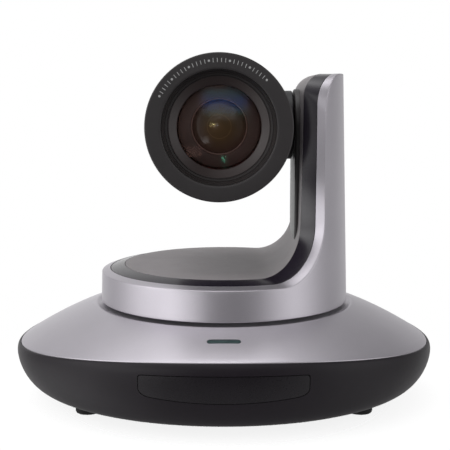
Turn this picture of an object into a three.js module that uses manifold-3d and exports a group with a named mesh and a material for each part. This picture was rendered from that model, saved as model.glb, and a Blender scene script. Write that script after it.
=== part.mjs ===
// Pan-tilt-zoom conference camera: a flared base, a turntable with one arm, and a lens head.
// Millimetres, +Z up. The origin is on the floor, on the pan axis. The front faces -Y and the arm is on +X.

import * as THREE from 'three';
import { mergeVertices } from 'three/addons/utils/BufferGeometryUtils.js';
import Module from 'manifold-3d';

const wasm = await Module();
wasm.setup();

const TAU = Math.PI * 2;
const GAP = 0.3;

// ---------------------------------------------------------------- driving dimensions

const BASE = {
  coverA: 115.65, coverB: 98.85,
  noseOut: 2.15, noseDrop: 4.7, lipOut: 0.7,
  floorZ: 5.7, wall: 2.5, bottomScale: 0.82,
  sideBulge: 2.28, footBulge: 1.7,
  lipDrop: 0.4, ledgeDrop: 3,
  segments: 52,
};
const DOME = { radius: 72.8, z: 53.6, slope: 0.352, curve: 0.0034, wall: 2.3 };
const WELL = { radius: 66, z: 52.6, hole: 16.5 };
const IR_WINDOW = {
  halfWidth: 41.8, bottom: 21.5, top: 35.6, bottomRise: 2.3, topFall: 0.7, sideFrom: 28.5, corner: 5.5,
  topCorner: 1.8, groove: 0.35,
};
const LIGHT_BAR = { radius: 84.3, width: 16.4, height: 2.75, depth: 6 };
const FOOT = { x: 73.3, y: 43, radius: 6.8, height: 5.4, stem: 2.4, stemTop: 9.5 };
const PLATE = { a: 80, b: 66, bottom: 8.6, top: 10.6 };
const TRIPOD = { bore: 3.05, body: 5.6, flange: 9 };
const BAY = { halfWidth: 53, bottom: 11.5, top: 34, wall: 1.5, backY: 72 };
const BOARD = { z: 14, thickness: 1.6, halfWidth: 54, front: 40, rear: 71.5 };
const LEG = { place: 31.1, radius: 4, screwRadius: 1.5, headRadius: 3.1, headHole: 3.6 };

const HUB = { outer: 14, inner: 10, bottom: 27, top: 54.9, flange: 24 };
const DECK = { z: 38, thickness: 2, radius: 47 };
const PAN_BEARING = { outer: 22, bottom: 30, top: 36.5 };

const TURNTABLE = { bottomZ: 54.9, bottomRadius: 69.9, wall: 2.2 };
const ARM_TOP = 181.2;
// Three nested edges run round the turntable and up and over the arm, from the outside in.
const EDGES = {
  outer: {
    radius: 69.4, draft: 0.0272, floor: 71.3, face: 53.1, lean: 0,
    footX: 22, footZ: 33, headX: 10, headZ: 22,
  },
  rim: {
    radius: 64.8, draft: 0.02, floor: 72.9, face: 48.4, lean: 0.006,
    footX: 23, footZ: 28.5, headX: 11.3, headZ: 17.2,
  },
  panel: {
    radius: 56.6, draft: 0.01, floor: 74.8, face: 40.8, lean: 0.014,
    footX: 22, footZ: 26, headX: 12, headZ: 12.2,
  },
};
const SKIN = 2;
const STATIONS = { floor: 15, foot: 7, arm: 3, head: 6, top: 3 };

const TILT_Z = 153;
const BOSS = { face: 38.8, radius: 20, bottom: 84 };
const YOKE = { x: 46, thickness: 2.5, halfWidth: 20, footZ: 57.8, top: 172 };
const MODULE = 1.5;
const PINION_TEETH = 10;
const PAN_GEAR = { teeth: 40, z: 43, width: 4 };
const TILT_GEAR = { teeth: 24, x: 51, width: 3 };
const GEAR_PLAY = 0.15;
const MOTOR = { radius: 10, panLength: 17, tiltX: 55.4, tiltLength: 8 };
const SHAFT = { outer: 6, inner: 4, from: 27, to: 56 };

const HEAD = { x: -2.5, radius: 36.6, wall: 2.4, front: -45.7, rear: 40 };
const RING = { radius: 38.3, opening: 29.85, front: -53.8, back: -46 };
const HEAD_DISC = { radius: 19.1, face: 38.1 };

// ---------------------------------------------------------------- materials

function finish(color, roughness, metalness = 0) {
  return new THREE.MeshStandardMaterial({ color, roughness, metalness });
}

const LOOK = {
  silver: () => finish(0xa9a6ab, 0.42, 0.55),
  blackSatin: () => finish(0x2e2c30, 0.5),
  blackGloss: () => finish(0x1d1b1f, 0.16),
  panelGrey: () => finish(0x838184, 0.6, 0.15),
  rubber: () => finish(0x18181a, 0.85),
  steel: () => finish(0x9a9c9e, 0.35, 0.9),
  castAlloy: () => finish(0x77797b, 0.55, 0.8),
  brass: () => finish(0xb08d4a, 0.35, 0.9),
  acetal: () => finish(0xd9d6cc, 0.5),
  board: () => finish(0x1f5a35, 0.55),
  glass: () => finish(0x2a1d24, 0.05),
  darkPlastic: () => finish(0x151516, 0.55),
  windowPlastic: () => finish(0x222024, 0.25),
  lightBar: () => finish(0x3b4a4a, 0.3),
  socketMetal: () => finish(0xb9bbbd, 0.3, 0.9),
};

// ---------------------------------------------------------------- closed geometry and solids

function signedVolume(geometry) {
  const p = geometry.attributes.position;
  const index = geometry.index.array;
  const corner = [new THREE.Vector3(), new THREE.Vector3(), new THREE.Vector3()];
  let sum = 0;
  for (let i = 0; i < index.length; i += 3) {
    corner.forEach((v, k) => v.fromBufferAttribute(p, index[i + k]));
    sum += corner[0].dot(corner[1].clone().cross(corner[2])) / 6;
  }
  return sum;
}

// One welded, closed mesh whose faces point out.
function closed(geometry) {
  const bare = geometry.clone();
  bare.deleteAttribute('normal');
  bare.deleteAttribute('uv');
  const welded = mergeVertices(bare, 1e-4);
  const index = Array.from(welded.index.array);
  const kept = [];
  for (let i = 0; i < index.length; i += 3) {
    const [a, b, c] = index.slice(i, i + 3);
    if (a !== b && b !== c && c !== a) kept.push(a, b, c);
  }
  welded.setIndex(kept);
  if (signedVolume(welded) < 0) {
    for (let i = 0; i < kept.length; i += 3) [kept[i], kept[i + 1]] = [kept[i + 1], kept[i]];
    welded.setIndex(kept);
  }
  return welded;
}

function solid(geometry) {
  const welded = closed(geometry);
  const vertProperties = new Float32Array(welded.attributes.position.array);
  const triVerts = new Uint32Array(welded.index.array);
  return new wasm.Manifold(new wasm.Mesh({ numProp: 3, vertProperties, triVerts }));
}

function toGeometry(manifold) {
  const mesh = manifold.getMesh();
  const geometry = new THREE.BufferGeometry();
  geometry.setAttribute('position', new THREE.BufferAttribute(mesh.vertProperties.slice(), 3));
  geometry.setIndex(Array.from(mesh.triVerts));
  return geometry;
}

const cut = (base, ...tools) => tools.reduce((body, tool) => body.subtract(tool), base);
const join = (base, ...others) => others.reduce((body, other) => body.add(other), base);

// A body skinned over loops of equal point count. A ring joins its last loop to its first;
// otherwise the first and the last loop are closed by fans.
function skinned(loops, ring) {
  const count = loops[0].length;
  const points = loops.flat();
  const index = [];
  const pairs = ring ? loops.length : loops.length - 1;
  for (let k = 0; k < pairs; k += 1) {
    const here = k * count;
    const next = ((k + 1) % loops.length) * count;
    for (let i = 0; i < count; i += 1) {
      const j = (i + 1) % count;
      index.push(here + i, here + j, next + j, here + i, next + j, next + i);
    }
  }
  if (!ring) {
    [0, loops.length - 1].forEach((k) => {
      const middle = new THREE.Vector3();
      loops[k].forEach((p) => middle.addScaledVector(p, 1 / count));
      const centre = points.push(middle) - 1;
      for (let i = 0; i < count; i += 1) {
        const a = k * count + i;
        const b = k * count + ((i + 1) % count);
        index.push(...(k === 0 ? [centre, b, a] : [centre, a, b]));
      }
    });
  }
  const geometry = new THREE.BufferGeometry().setFromPoints(points);
  geometry.setIndex(index);
  return closed(geometry);
}

// A profile of [radius, height] points turned about an axis through `centre`.
function turned(profile, axis = 'z', centre = [0, 0, 0], segments = 40) {
  const outline = profile.map(([r, h]) => new THREE.Vector2(r, h));
  const geometry = new THREE.LatheGeometry(outline, segments);
  if (axis === 'z') geometry.rotateX(Math.PI / 2);
  if (axis === 'x') geometry.rotateZ(-Math.PI / 2);
  geometry.translate(...centre);
  return closed(geometry);
}

function tube(outer, inner, from, to, axis, centre, segments) {
  const profile = [[inner, from], [outer, from], [outer, to], [inner, to], [inner, from]];
  return turned(profile, axis, centre, segments);
}

function rod(radius, from, to, axis, centre, segments = 24) {
  return turned([[0, from], [radius, from], [radius, to], [0, to]], axis, centre, segments);
}

function block(x0, x1, y0, y1, z0, z1) {
  const geometry = new THREE.BoxGeometry(x1 - x0, y1 - y0, z1 - z0);
  geometry.translate((x0 + x1) / 2, (y0 + y1) / 2, (z0 + z1) / 2);
  return closed(geometry);
}

// An outline drawn in two axes and pushed along the third, between two places.
function prism(shape, axis, from, to, curveSegments = 8) {
  const options = { depth: to - from, bevelEnabled: false, curveSegments };
  const geometry = new THREE.ExtrudeGeometry(shape, options);
  if (axis === 'y') geometry.rotateX(Math.PI / 2).translate(0, to, 0);
  if (axis === 'z') geometry.translate(0, 0, from);
  if (axis === 'x') {
    const turn = new THREE.Matrix4().set(0, 0, 1, from, 1, 0, 0, 0, 0, 1, 0, 0, 0, 0, 0, 1);
    geometry.applyMatrix4(turn);
  }
  return closed(geometry);
}

// A rectangle with its own corner radius at the top and at the bottom.
function roundedRect(x0, x1, z0, z1, bottomRadius, topRadius = bottomRadius) {
  const shape = new THREE.Shape();
  shape.moveTo(x0 + bottomRadius, z0);
  shape.lineTo(x1 - bottomRadius, z0);
  shape.absarc(x1 - bottomRadius, z0 + bottomRadius, bottomRadius, -Math.PI / 2, 0);
  shape.absarc(x1 - topRadius, z1 - topRadius, topRadius, 0, Math.PI / 2);
  shape.absarc(x0 + topRadius, z1 - topRadius, topRadius, Math.PI / 2, Math.PI);
  shape.absarc(x0 + bottomRadius, z0 + bottomRadius, bottomRadius, Math.PI, Math.PI * 1.5);
  return shape;
}

// ---------------------------------------------------------------- gears

const pitchRadius = (teeth) => (teeth * MODULE) / 2;

function gearShape(teeth, bore, turn = 0) {
  const step = TAU / teeth;
  const tip = pitchRadius(teeth) + 0.85 * MODULE;
  const root = pitchRadius(teeth) - 1.15 * MODULE;
  const flank = [[root, -0.27], [tip, -0.1], [tip, 0.1], [root, 0.27]];
  const points = [];
  for (let i = 0; i < teeth; i += 1) {
    flank.forEach(([radius, share]) => {
      const angle = (i + share + turn) * step;
      points.push(new THREE.Vector2(radius * Math.cos(angle), radius * Math.sin(angle)));
    });
  }
  const shape = new THREE.Shape(points);
  if (bore > 0) shape.holes.push(new THREE.Path().absarc(0, 0, bore, 0, TAU, true));
  return shape;
}

// ---------------------------------------------------------------- base shells

// The cover's top is a shallow dome of revolution about the pan axis.
function domeZ(radius) {
  const out = radius - DOME.radius;
  return DOME.z - DOME.slope * out - DOME.curve * out * out;
}

const domeSlope = (radius) => DOME.slope + 2 * DOME.curve * (radius - DOME.radius);

function ellipseRadius(a, b, angle) {
  return (a * b) / Math.hypot(b * Math.cos(angle), a * Math.sin(angle));
}

// A loop over an elliptical plan; its height may depend on the direction.
function planLoop(a, b, heightAt) {
  const loop = [];
  for (let i = 0; i < BASE.segments; i += 1) {
    const angle = (i / BASE.segments) * TAU;
    const radius = ellipseRadius(a, b, angle);
    const z = typeof heightAt === 'number' ? heightAt : heightAt(angle, radius);
    loop.push(new THREE.Vector3(radius * Math.cos(angle), radius * Math.sin(angle), z));
  }
  return loop;
}

const coverEdgeZ = (angle) => domeZ(ellipseRadius(BASE.coverA, BASE.coverB, angle));

// The bowl's side, from its widest line (t = 0) to the flat bottom (t = 1), set in by `inset`.
function bowlLoop(t, inset) {
  const turn = (t * Math.PI) / 2;
  const out = Math.cos(turn) ** (2 / BASE.sideBulge);
  const down = Math.sin(turn) ** (2 / BASE.footBulge);
  const scale = BASE.bottomScale + (1 - BASE.bottomScale) * out;
  const low = BASE.floorZ + inset;
  const a = (BASE.coverA + BASE.noseOut) * scale - inset;
  const b = (BASE.coverB + BASE.noseOut) * scale - inset;
  return planLoop(a, b, (angle) => {
    const high = coverEdgeZ(angle) - BASE.noseDrop;
    return high + (low - high) * down;
  });
}

// A loop that follows the cover's edge, `out` beyond it and `drop` below it.
function besideEdge(out, drop) {
  return planLoop(BASE.coverA + out, BASE.coverB + out, (angle) => coverEdgeZ(angle) - drop);
}

const BOWL_STEPS = [0, 0.18, 0.36, 0.54, 0.7, 0.85, 1];
const BOWL_STEPS_INSIDE = [0, 0.4, 0.75, 1];

// The outside, from the flat bottom up and over the rounded shoulder to the lip.
function bowlOutside() {
  const { noseOut, noseDrop, lipOut, lipDrop } = BASE;
  const side = BOWL_STEPS.map((t) => bowlLoop(t, 0)).reverse();
  const shoulder = besideEdge(noseOut * 0.82, noseDrop * 0.45);
  return [...side, shoulder, besideEdge(lipOut, lipDrop)];
}

function bowlSolid() {
  return solid(skinned(bowlOutside(), false));
}

function lowerShellBlank() {
  const loops = bowlOutside();
  loops.push(besideEdge(GAP, BASE.lipDrop));
  loops.push(besideEdge(GAP, BASE.ledgeDrop + GAP));
  loops.push(besideEdge(-2, BASE.ledgeDrop + GAP));
  loops.push(...BOWL_STEPS_INSIDE.map((t) => bowlLoop(t, BASE.wall + (1 - t) * 2)));
  return solid(skinned(loops, false));
}

// The window's outline: both long edges are bowed, and the lower corners are wide.
function irWindowShape(grow) {
  const w = IR_WINDOW;
  const side = w.halfWidth + grow;
  const bottom = w.bottom - grow;
  const top = w.top + grow;
  const low = [side - w.corner, bottom + w.bottomRise];
  const high = [side - w.topCorner, top - w.topFall];
  const shape = new THREE.Shape();
  shape.moveTo(-low[0], low[1]);
  shape.quadraticCurveTo(0, 2 * bottom - low[1], low[0], low[1]);
  shape.quadraticCurveTo(side, low[1] + 1, side, w.sideFrom);
  shape.lineTo(side, high[1] - w.topCorner);
  shape.quadraticCurveTo(side, high[1], high[0], high[1]);
  shape.quadraticCurveTo(0, 2 * top - high[1], -high[0], high[1]);
  shape.quadraticCurveTo(-side, high[1], -side, high[1] - w.topCorner);
  shape.lineTo(-side, w.sideFrom);
  shape.quadraticCurveTo(-side, low[1] + 1, -low[0], low[1]);
  return shape;
}

function irWindowPrism(grow) {
  return solid(prism(irWindowShape(grow), 'y', -130, -55, 8));
}

function corners(x, y) {
  return [[-x, -y], [x, -y], [-x, y], [x, y]];
}

function baseLowerShell() {
  const bay = solid(block(
    -BAY.halfWidth - GAP, BAY.halfWidth + GAP, BAY.backY - 6, 130, BAY.bottom - GAP, BAY.top + GAP,
  ));
  const hole = (radius, x, y) => solid(rod(radius, 0, 12, 'z', [x, y, 0], 20));
  const footHoles = corners(FOOT.x, FOOT.y).map(([x, y]) => hole(FOOT.stem + GAP, x, y));
  const screwHoles = corners(LEG.place, LEG.place).map(([x, y]) => hole(LEG.headHole, x, y));
  const tripodHole = hole(TRIPOD.body + GAP, 0, 0);
  const window = irWindowPrism(IR_WINDOW.groove);
  return cut(lowerShellBlank(), window, bay, tripodHole, ...footHoles, ...screwHoles);
}

function irWindow() {
  return lowerShellBlank().intersect(irWindowPrism(0));
}

// The cover: the dome trimmed to an elliptical edge, with a shallow well under the turntable.
function coverBlank() {
  const edgeWall = 1.8;
  const between = (share, drop) => planLoop(
    DOME.radius + (BASE.coverA - DOME.radius) * share,
    DOME.radius + (BASE.coverB - DOME.radius) * share,
    (angle, radius) => domeZ(radius) - drop,
  );
  const loops = [
    besideEdge(0, BASE.ledgeDrop),
    besideEdge(0, 0),
    between(0.66, 0),
    between(0.33, 0),
    planLoop(DOME.radius, DOME.radius, DOME.z),
    planLoop(WELL.radius, WELL.radius, WELL.z),
    planLoop(WELL.hole, WELL.hole, WELL.z),
    planLoop(WELL.hole, WELL.hole, WELL.z - DOME.wall),
    planLoop(DOME.radius, DOME.radius, WELL.z - DOME.wall),
    between(0.5, DOME.wall * 1.2),
    besideEdge(-edgeWall, DOME.wall * 1.3),
    besideEdge(-edgeWall, BASE.ledgeDrop),
  ];
  return solid(skinned(loops, true));
}

// The status light's bar lies on the cover's slope; `grow` widens it for the slot.
function lightBarPrism(grow, lift) {
  const w = LIGHT_BAR.width / 2 + grow;
  const h = LIGHT_BAR.height / 2 + grow;
  const shape = roundedRect(-w, w, -h, h, h - 0.02);
  const options = { depth: LIGHT_BAR.depth, bevelEnabled: false, curveSegments: 5 };
  const geometry = new THREE.ExtrudeGeometry(shape, options);
  geometry.translate(0, 0, -LIGHT_BAR.depth + lift);
  geometry.rotateX(Math.atan(domeSlope(LIGHT_BAR.radius)));
  geometry.translate(0, -LIGHT_BAR.radius, domeZ(LIGHT_BAR.radius));
  return solid(geometry);
}

function baseTopCover() {
  return cut(coverBlank(), lightBarPrism(GAP, 2));
}

// ---------------------------------------------------------------- base inside

function footGeometry() {
  const { radius, height, stem, stemTop } = FOOT;
  return [
    [0, 0], [radius - 0.8, 0], [radius, 0.8], [radius, height],
    [stem, height], [stem, stemTop], [0, stemTop],
  ];
}

function basePlate() {
  const steps = [PLATE.bottom, PLATE.top].map((z) => planLoop(PLATE.a, PLATE.b, z));
  const screws = corners(LEG.place, LEG.place).map(([x, y]) => solid(rod(2, 0, 20, 'z', [x, y, 0], 8)));
  return cut(solid(skinned(steps, false)), solid(rod(TRIPOD.body + GAP, 0, 20, 'z')), ...screws);
}

function tripodInsert() {
  const { bore, body, flange } = TRIPOD;
  const bottom = BASE.floorZ + GAP;
  return turned([
    [bore, bottom], [body, bottom], [body, PLATE.top + GAP], [flange, PLATE.top + GAP],
    [flange, PLATE.top + 2.3], [body, PLATE.top + 2.3], [body, PLATE.top + 5], [bore, PLATE.top + 5],
    [bore, bottom],
  ], 'z', [0, 0, 0], 20);
}

function screwProfile() {
  const shank = LEG.screwRadius;
  const head = LEG.headRadius;
  return [[0, 6], [head, 6], [head, 8.1], [shank, 8.1], [shank, 16], [0, 16]];
}

// The chassis: a bearing cup and deck on four legs, with a raised ring for the pan bearing.
function panChassis() {
  const deckTop = DECK.z + DECK.thickness;
  const deck = solid(tube(DECK.radius, PAN_BEARING.outer + GAP, DECK.z, deckTop, 'z', [0, 0, 0], 32));
  const cup = solid(turned([
    [HUB.outer + 2, PAN_BEARING.bottom - 2], [PAN_BEARING.outer + 2.5, PAN_BEARING.bottom - 2],
    [PAN_BEARING.outer + 2.5, deckTop], [PAN_BEARING.outer + GAP, deckTop],
    [PAN_BEARING.outer + GAP, PAN_BEARING.bottom - GAP], [HUB.outer + 2, PAN_BEARING.bottom - GAP],
    [HUB.outer + 2, PAN_BEARING.bottom - 2],
  ], 'z', [0, 0, 0], 32));
  const legs = corners(LEG.place, LEG.place).map(([x, y]) => (
    solid(rod(LEG.radius, PLATE.top + GAP, deckTop - 0.5, 'z', [x, y, 0], 10))
  ));
  const bores = corners(LEG.place, LEG.place).map(([x, y]) => solid(rod(1.9, 0, 18, 'z', [x, y, 0], 8)));
  const shaftHole = solid(rod(3.4, 30, 45, 'z', [panPinionX(), 0, 0], 16));
  return cut(join(deck, cup, ...legs), shaftHole, ...bores);
}

const panPinionX = () => pitchRadius(PAN_GEAR.teeth) + pitchRadius(PINION_TEETH) + GEAR_PLAY;
const tiltPinionZ = () => TILT_Z - pitchRadius(TILT_GEAR.teeth) - pitchRadius(PINION_TEETH) - GEAR_PLAY;

function panMotor() {
  const top = DECK.z - GAP;
  const body = solid(rod(MOTOR.radius, top - MOTOR.panLength, top, 'z', [panPinionX(), 0, 0], 28));
  const well = solid(rod(2, top - 4, top + 1, 'z', [panPinionX(), 0, 0], 14));
  return cut(body, well);
}

function panPinion() {
  const { z, width } = PAN_GEAR;
  const gear = solid(prism(gearShape(PINION_TEETH, 0, 0.5), 'z', z - 0.5, z + width + 0.5));
  const shaft = solid(rod(1.5, DECK.z - 3.5, z, 'z', [0, 0, 0], 12));
  return join(gear, shaft).translate([panPinionX(), 0, 0]);
}

// ---------------------------------------------------------------- rear connector bay

// Each socket: its middle on X, its width and height, and its opening.
const SOCKETS = [
  { name: 'power_socket', x: -44.5, width: 9.4, height: 11, hole: 'round', holeRadius: 3.1, pin: 1 },
  { name: 'network_socket', x: -29.8, width: 16, height: 13.4, hole: 'slot', slot: [11.8, 8.4] },
  { name: 'video_socket', x: -12.5, width: 15, height: 6.4, hole: 'slot', slot: [13.6, 4.8] },
  { name: 'usb_socket', x: 3.4, width: 13.2, height: 7.4, hole: 'slot', slot: [11.8, 5.8] },
  { name: 'control_in_socket', x: 18.8, width: 14, height: 13.2, hole: 'round', holeRadius: 4.9, pin: 2.2 },
  { name: 'control_out_socket', x: 34.4, width: 14, height: 13.2, hole: 'round', holeRadius: 4.9, pin: 2.2 },
  { name: 'audio_socket', x: 46.4, width: 7, height: 7.6, hole: 'round', holeRadius: 1.8, pin: 0 },
];
const SOCKET_BACK = 60;
const SOCKET_DEPTH = 9;
const socketFront = BAY.backY + BAY.wall + 0.4;
const socketBottom = BOARD.z + BOARD.thickness + GAP;

function socketBody(spec) {
  const { x, width, height } = spec;
  const top = socketBottom + height;
  const middle = (socketBottom + top) / 2;
  const inside = socketFront - SOCKET_DEPTH;
  const half = width / 2;
  const body = solid(block(x - half, x + half, SOCKET_BACK, socketFront, socketBottom, top));
  if (spec.hole === 'round') {
    const bore = solid(rod(spec.holeRadius, inside, 90, 'y', [x, 0, middle], 20));
    const bored = cut(body, bore);
    if (!spec.pin) return bored;
    return join(bored, solid(rod(spec.pin, inside - 1, socketFront - 1, 'y', [x, 0, middle], 10)));
  }
  const [w, h] = spec.slot.map((size) => size / 2);
  return cut(body, solid(block(x - w, x + w, inside, 90, middle - h, middle + h)));
}

// The bay: a five-sided tray let into the rear of the lower shell, cut flush with its outside.
function rearBay() {
  const { halfWidth, bottom, top, wall, backY } = BAY;
  const outside = solid(block(-halfWidth, halfWidth, backY, 120, bottom, top));
  const side = halfWidth - wall;
  const inside = solid(block(-side, side, backY + wall, 130, bottom + wall, top - wall));
  const holes = SOCKETS.map(({ x, width, height }) => {
    const w = width / 2 + GAP;
    const low = socketBottom - GAP;
    return solid(block(x - w, x + w, backY - 3, backY + wall + 1, low, low + height + 2 * GAP));
  });
  return cut(outside, inside, ...holes).intersect(bowlSolid());
}

function mainBoard() {
  const { z, thickness, halfWidth, front, rear } = BOARD;
  const plate = solid(block(-halfWidth, halfWidth, front, rear, z, z + thickness));
  const chips = [[-30, 48, 7], [2, 49, 6], [30, 48, 5]].map(([x, y, half]) => (
    solid(block(x - half, x + half, y - half, y + half, z + thickness - 0.2, z + thickness + 1.6))
  ));
  return join(plate, ...chips);
}

// ---------------------------------------------------------------- turntable and arm

// The stations of an edge, from the left end of the floor to the outer end of the arm's top.
// `sink` moves the edge into the material, and `pull` draws its radius in.
function edgePath(edge, sink = 0, pull = 0) {
  const floor = edge.floor - sink;
  const top = ARM_TOP - sink;
  const foot = { x: edge.footX + sink, z: edge.footZ + sink };
  const head = { x: edge.headX - sink, z: edge.headZ - sink };
  const leanAt = (z) => edge.lean * Math.max(z - 100, 0);
  const radiusAt = (z) => edge.radius - pull - edge.draft * (z - edge.floor);
  const startX = edge.face - edge.footX;
  const path = [];
  const add = (x, z) => {
    const radius = radiusAt(z);
    path.push(new THREE.Vector3(x, -Math.sqrt(Math.max(radius * radius - x * x, 0)), z));
  };
  const floorRadius = radiusAt(floor);
  const floorSweep = Math.PI - Math.acos(startX / floorRadius);
  for (let i = 0; i < STATIONS.floor; i += 1) {
    add(-floorRadius * Math.cos((i / STATIONS.floor) * floorSweep), floor);
  }
  for (let i = 0; i <= STATIONS.foot; i += 1) {
    const turn = (i / STATIONS.foot) * (Math.PI / 2);
    const z = floor + foot.z * (1 - Math.cos(turn));
    add(startX + foot.x * Math.sin(turn) + leanAt(z), z);
  }
  const armFrom = floor + foot.z;
  const armTo = top - head.z;
  for (let i = 1; i <= STATIONS.arm; i += 1) {
    const z = armFrom + (armTo - armFrom) * (i / STATIONS.arm);
    add(edge.face + sink + leanAt(z), z);
  }
  const headX = edge.face + sink + leanAt(armTo);
  for (let i = 1; i <= STATIONS.head; i += 1) {
    const turn = (i / STATIONS.head) * (Math.PI / 2);
    add(headX + head.x * (1 - Math.cos(turn)), armTo + head.z * Math.sin(turn));
  }
  const topRadius = radiusAt(top);
  const topSweep = Math.acos((headX + head.x) / topRadius);
  for (let i = 1; i <= STATIONS.top; i += 1) {
    add(topRadius * Math.cos(topSweep * (1 - i / STATIONS.top)), top);
  }
  return path;
}

// The whole edge, front and back, as one closed loop.
function edgeLoop(edge, sink, pull) {
  const front = edgePath(edge, sink, pull);
  const back = front.slice(1, -1).reverse().map((p) => new THREE.Vector3(p.x, -p.y, p.z));
  return [...front, ...back];
}

// The foot of the wall, straight below each point of an edge loop.
function wallFoot(loop, radius) {
  return loop.map((p) => {
    const angle = Math.atan2(p.y, p.x);
    return new THREE.Vector3(radius * Math.cos(angle), radius * Math.sin(angle), TURNTABLE.bottomZ);
  });
}

function turntableShell() {
  const outer = edgeLoop(EDGES.outer, 0, 0);
  const inside = edgeLoop(EDGES.outer, TURNTABLE.wall, TURNTABLE.wall);
  return skinned([
    wallFoot(outer, TURNTABLE.bottomRadius),
    outer,
    edgeLoop(EDGES.rim, 0, 0),
    edgeLoop(EDGES.rim, SKIN, 0),
    inside,
    wallFoot(inside, TURNTABLE.bottomRadius - TURNTABLE.wall),
  ], true);
}

function trimBand() {
  return skinned([
    edgeLoop(EDGES.rim, 0, GAP),
    edgeLoop(EDGES.panel, 0, 0),
    edgeLoop(EDGES.panel, SKIN, 0),
    edgeLoop(EDGES.rim, SKIN, GAP),
  ], true);
}

// The panel: one bent sheet, flat from front to back, over the floor and up the arm.
function innerPanel() {
  const above = edgePath(EDGES.panel, 0, GAP);
  const below = edgePath(EDGES.panel, SKIN, GAP);
  const least = 1.2;
  const sections = above.map((p, i) => {
    const q = below[i];
    const front = Math.min(p.y, -least);
    const frontBelow = Math.min(q.y, -least);
    return [
      new THREE.Vector3(p.x, front, p.z), new THREE.Vector3(p.x, -front, p.z),
      new THREE.Vector3(q.x, -frontBelow, q.z), new THREE.Vector3(q.x, frontBelow, q.z),
    ];
  });
  const shaftHole = solid(rod(SHAFT.outer + 0.8, 30, 60, 'x', [0, 0, TILT_Z], 20));
  return cut(solid(skinned(sections, false)), shaftHole);
}

// The boss round the tilt axis: an arch whose sides run down into the panel's bend.
function tiltBoss() {
  const { face, radius, bottom } = BOSS;
  const shape = new THREE.Shape();
  shape.moveTo(-radius, bottom);
  shape.lineTo(radius, bottom);
  shape.lineTo(radius, TILT_Z);
  shape.absarc(0, TILT_Z, radius, 0, Math.PI);
  const arch = solid(prism(shape, 'x', face, EDGES.panel.face + 1.2, 12));
  const panelLine = edgePath(EDGES.panel, -GAP, 0).map((p) => new THREE.Vector2(p.x, p.z));
  const beyond = [[90, ARM_TOP], [90, 40], [-60, 40]].map(([x, z]) => new THREE.Vector2(x, z));
  const behind = new THREE.Shape([...panelLine, ...beyond]);
  const shaftHole = solid(rod(SHAFT.outer + 0.8, 30, 60, 'x', [0, 0, TILT_Z], 20));
  return cut(arch, solid(prism(behind, 'y', -40, 40)), shaftHole);
}

function turntablePlate() {
  const bottom = TURNTABLE.bottomZ + GAP;
  const radius = TURNTABLE.bottomRadius - TURNTABLE.wall - 0.4;
  return tube(radius, HUB.inner, bottom, bottom + 2, 'z', [0, 0, 0], 36);
}

function panHub() {
  const flangeZ = HUB.top - 1.9;
  return turned([
    [HUB.inner, HUB.bottom], [HUB.outer, HUB.bottom], [HUB.outer, flangeZ], [HUB.flange, flangeZ],
    [HUB.flange, HUB.top], [HUB.inner, HUB.top], [HUB.inner, HUB.bottom],
  ], 'z', [0, 0, 0], 28);
}

// ---------------------------------------------------------------- tilt drive in the arm

function yokeFrame() {
  const { x, thickness, halfWidth, footZ, top } = YOKE;
  const far = x + thickness;
  const foot = solid(block(16, far, -halfWidth, halfWidth, footZ, footZ + thickness));
  const outline = roundedRect(-halfWidth, halfWidth, footZ, top, 0.02, 9);
  const plate = solid(prism(outline, 'x', x, far, 5));
  const post = (y) => rod(2, far - 0.5, MOTOR.tiltX - GAP, 'x', [0, y, tiltPinionZ()], 12);
  const posts = [-13, 13].map((y) => solid(post(y)));
  const bearingHole = solid(rod(11.3, x - 1, far + 1, 'x', [0, 0, TILT_Z], 28));
  const pinionHole = solid(rod(2, x - 1, far + 1, 'x', [0, 0, tiltPinionZ()], 14));
  const cableWindow = solid(prism(roundedRect(-9, 9, 74, 108, 4), 'x', x - 1, far + 1, 4));
  return cut(join(foot, plate, ...posts), bearingHole, pinionHole, cableWindow);
}

function tiltMotor() {
  const { radius, tiltX, tiltLength } = MOTOR;
  const z = tiltPinionZ();
  const body = solid(rod(radius, tiltX, tiltX + tiltLength, 'x', [0, 0, z], 28));
  const ears = solid(prism(roundedRect(-15.5, 15.5, z - 3, z + 3, 2.9), 'x', tiltX, tiltX + 1.2, 5));
  const well = solid(rod(2, tiltX - 1, tiltX + 4, 'x', [0, 0, z], 14));
  return cut(join(body, ears), well);
}

function tiltPinion() {
  const { x, width } = TILT_GEAR;
  const gear = solid(prism(gearShape(PINION_TEETH, 0), 'x', x - 0.5, x + width + 0.5));
  const shaft = solid(rod(1.5, YOKE.x, MOTOR.tiltX + 3.5, 'x', [0, 0, 0], 12));
  return join(gear, shaft).translate([0, 0, tiltPinionZ()]);
}

// The wiring that climbs from the pan hub, through the arm, into the end of the tilt shaft.
function armHarness() {
  const route = [
    [0, 0, 52], [1, -1, 60], [8, -6, 65.5], [24, -18, 67], [38, -26, 68], [49.5, -27.5, 74],
    [51.5, -27, 92], [52, -27, 120], [55, -25.5, 140], [59, -16, 151], [60.5, -6, 153], [59, 0, 153],
  ];
  const path = new THREE.CatmullRomCurve3(route.map((p) => new THREE.Vector3(...p)));
  const section = new THREE.Shape().absarc(0, 0, 1.7, 0, TAU);
  return closed(new THREE.ExtrudeGeometry(section, { steps: 32, curveSegments: 4, extrudePath: path }));
}

// ---------------------------------------------------------------- head

const headCentre = [HEAD.x, 0, TILT_Z];

function headBarrel() {
  const { radius, wall, front, rear } = HEAD;
  const shell = solid(tube(radius, radius - wall, front, rear, 'y', headCentre, 48));
  return cut(shell, solid(rod(SHAFT.outer + GAP, 20, 45, 'x', [0, 0, TILT_Z], 20)));
}

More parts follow.
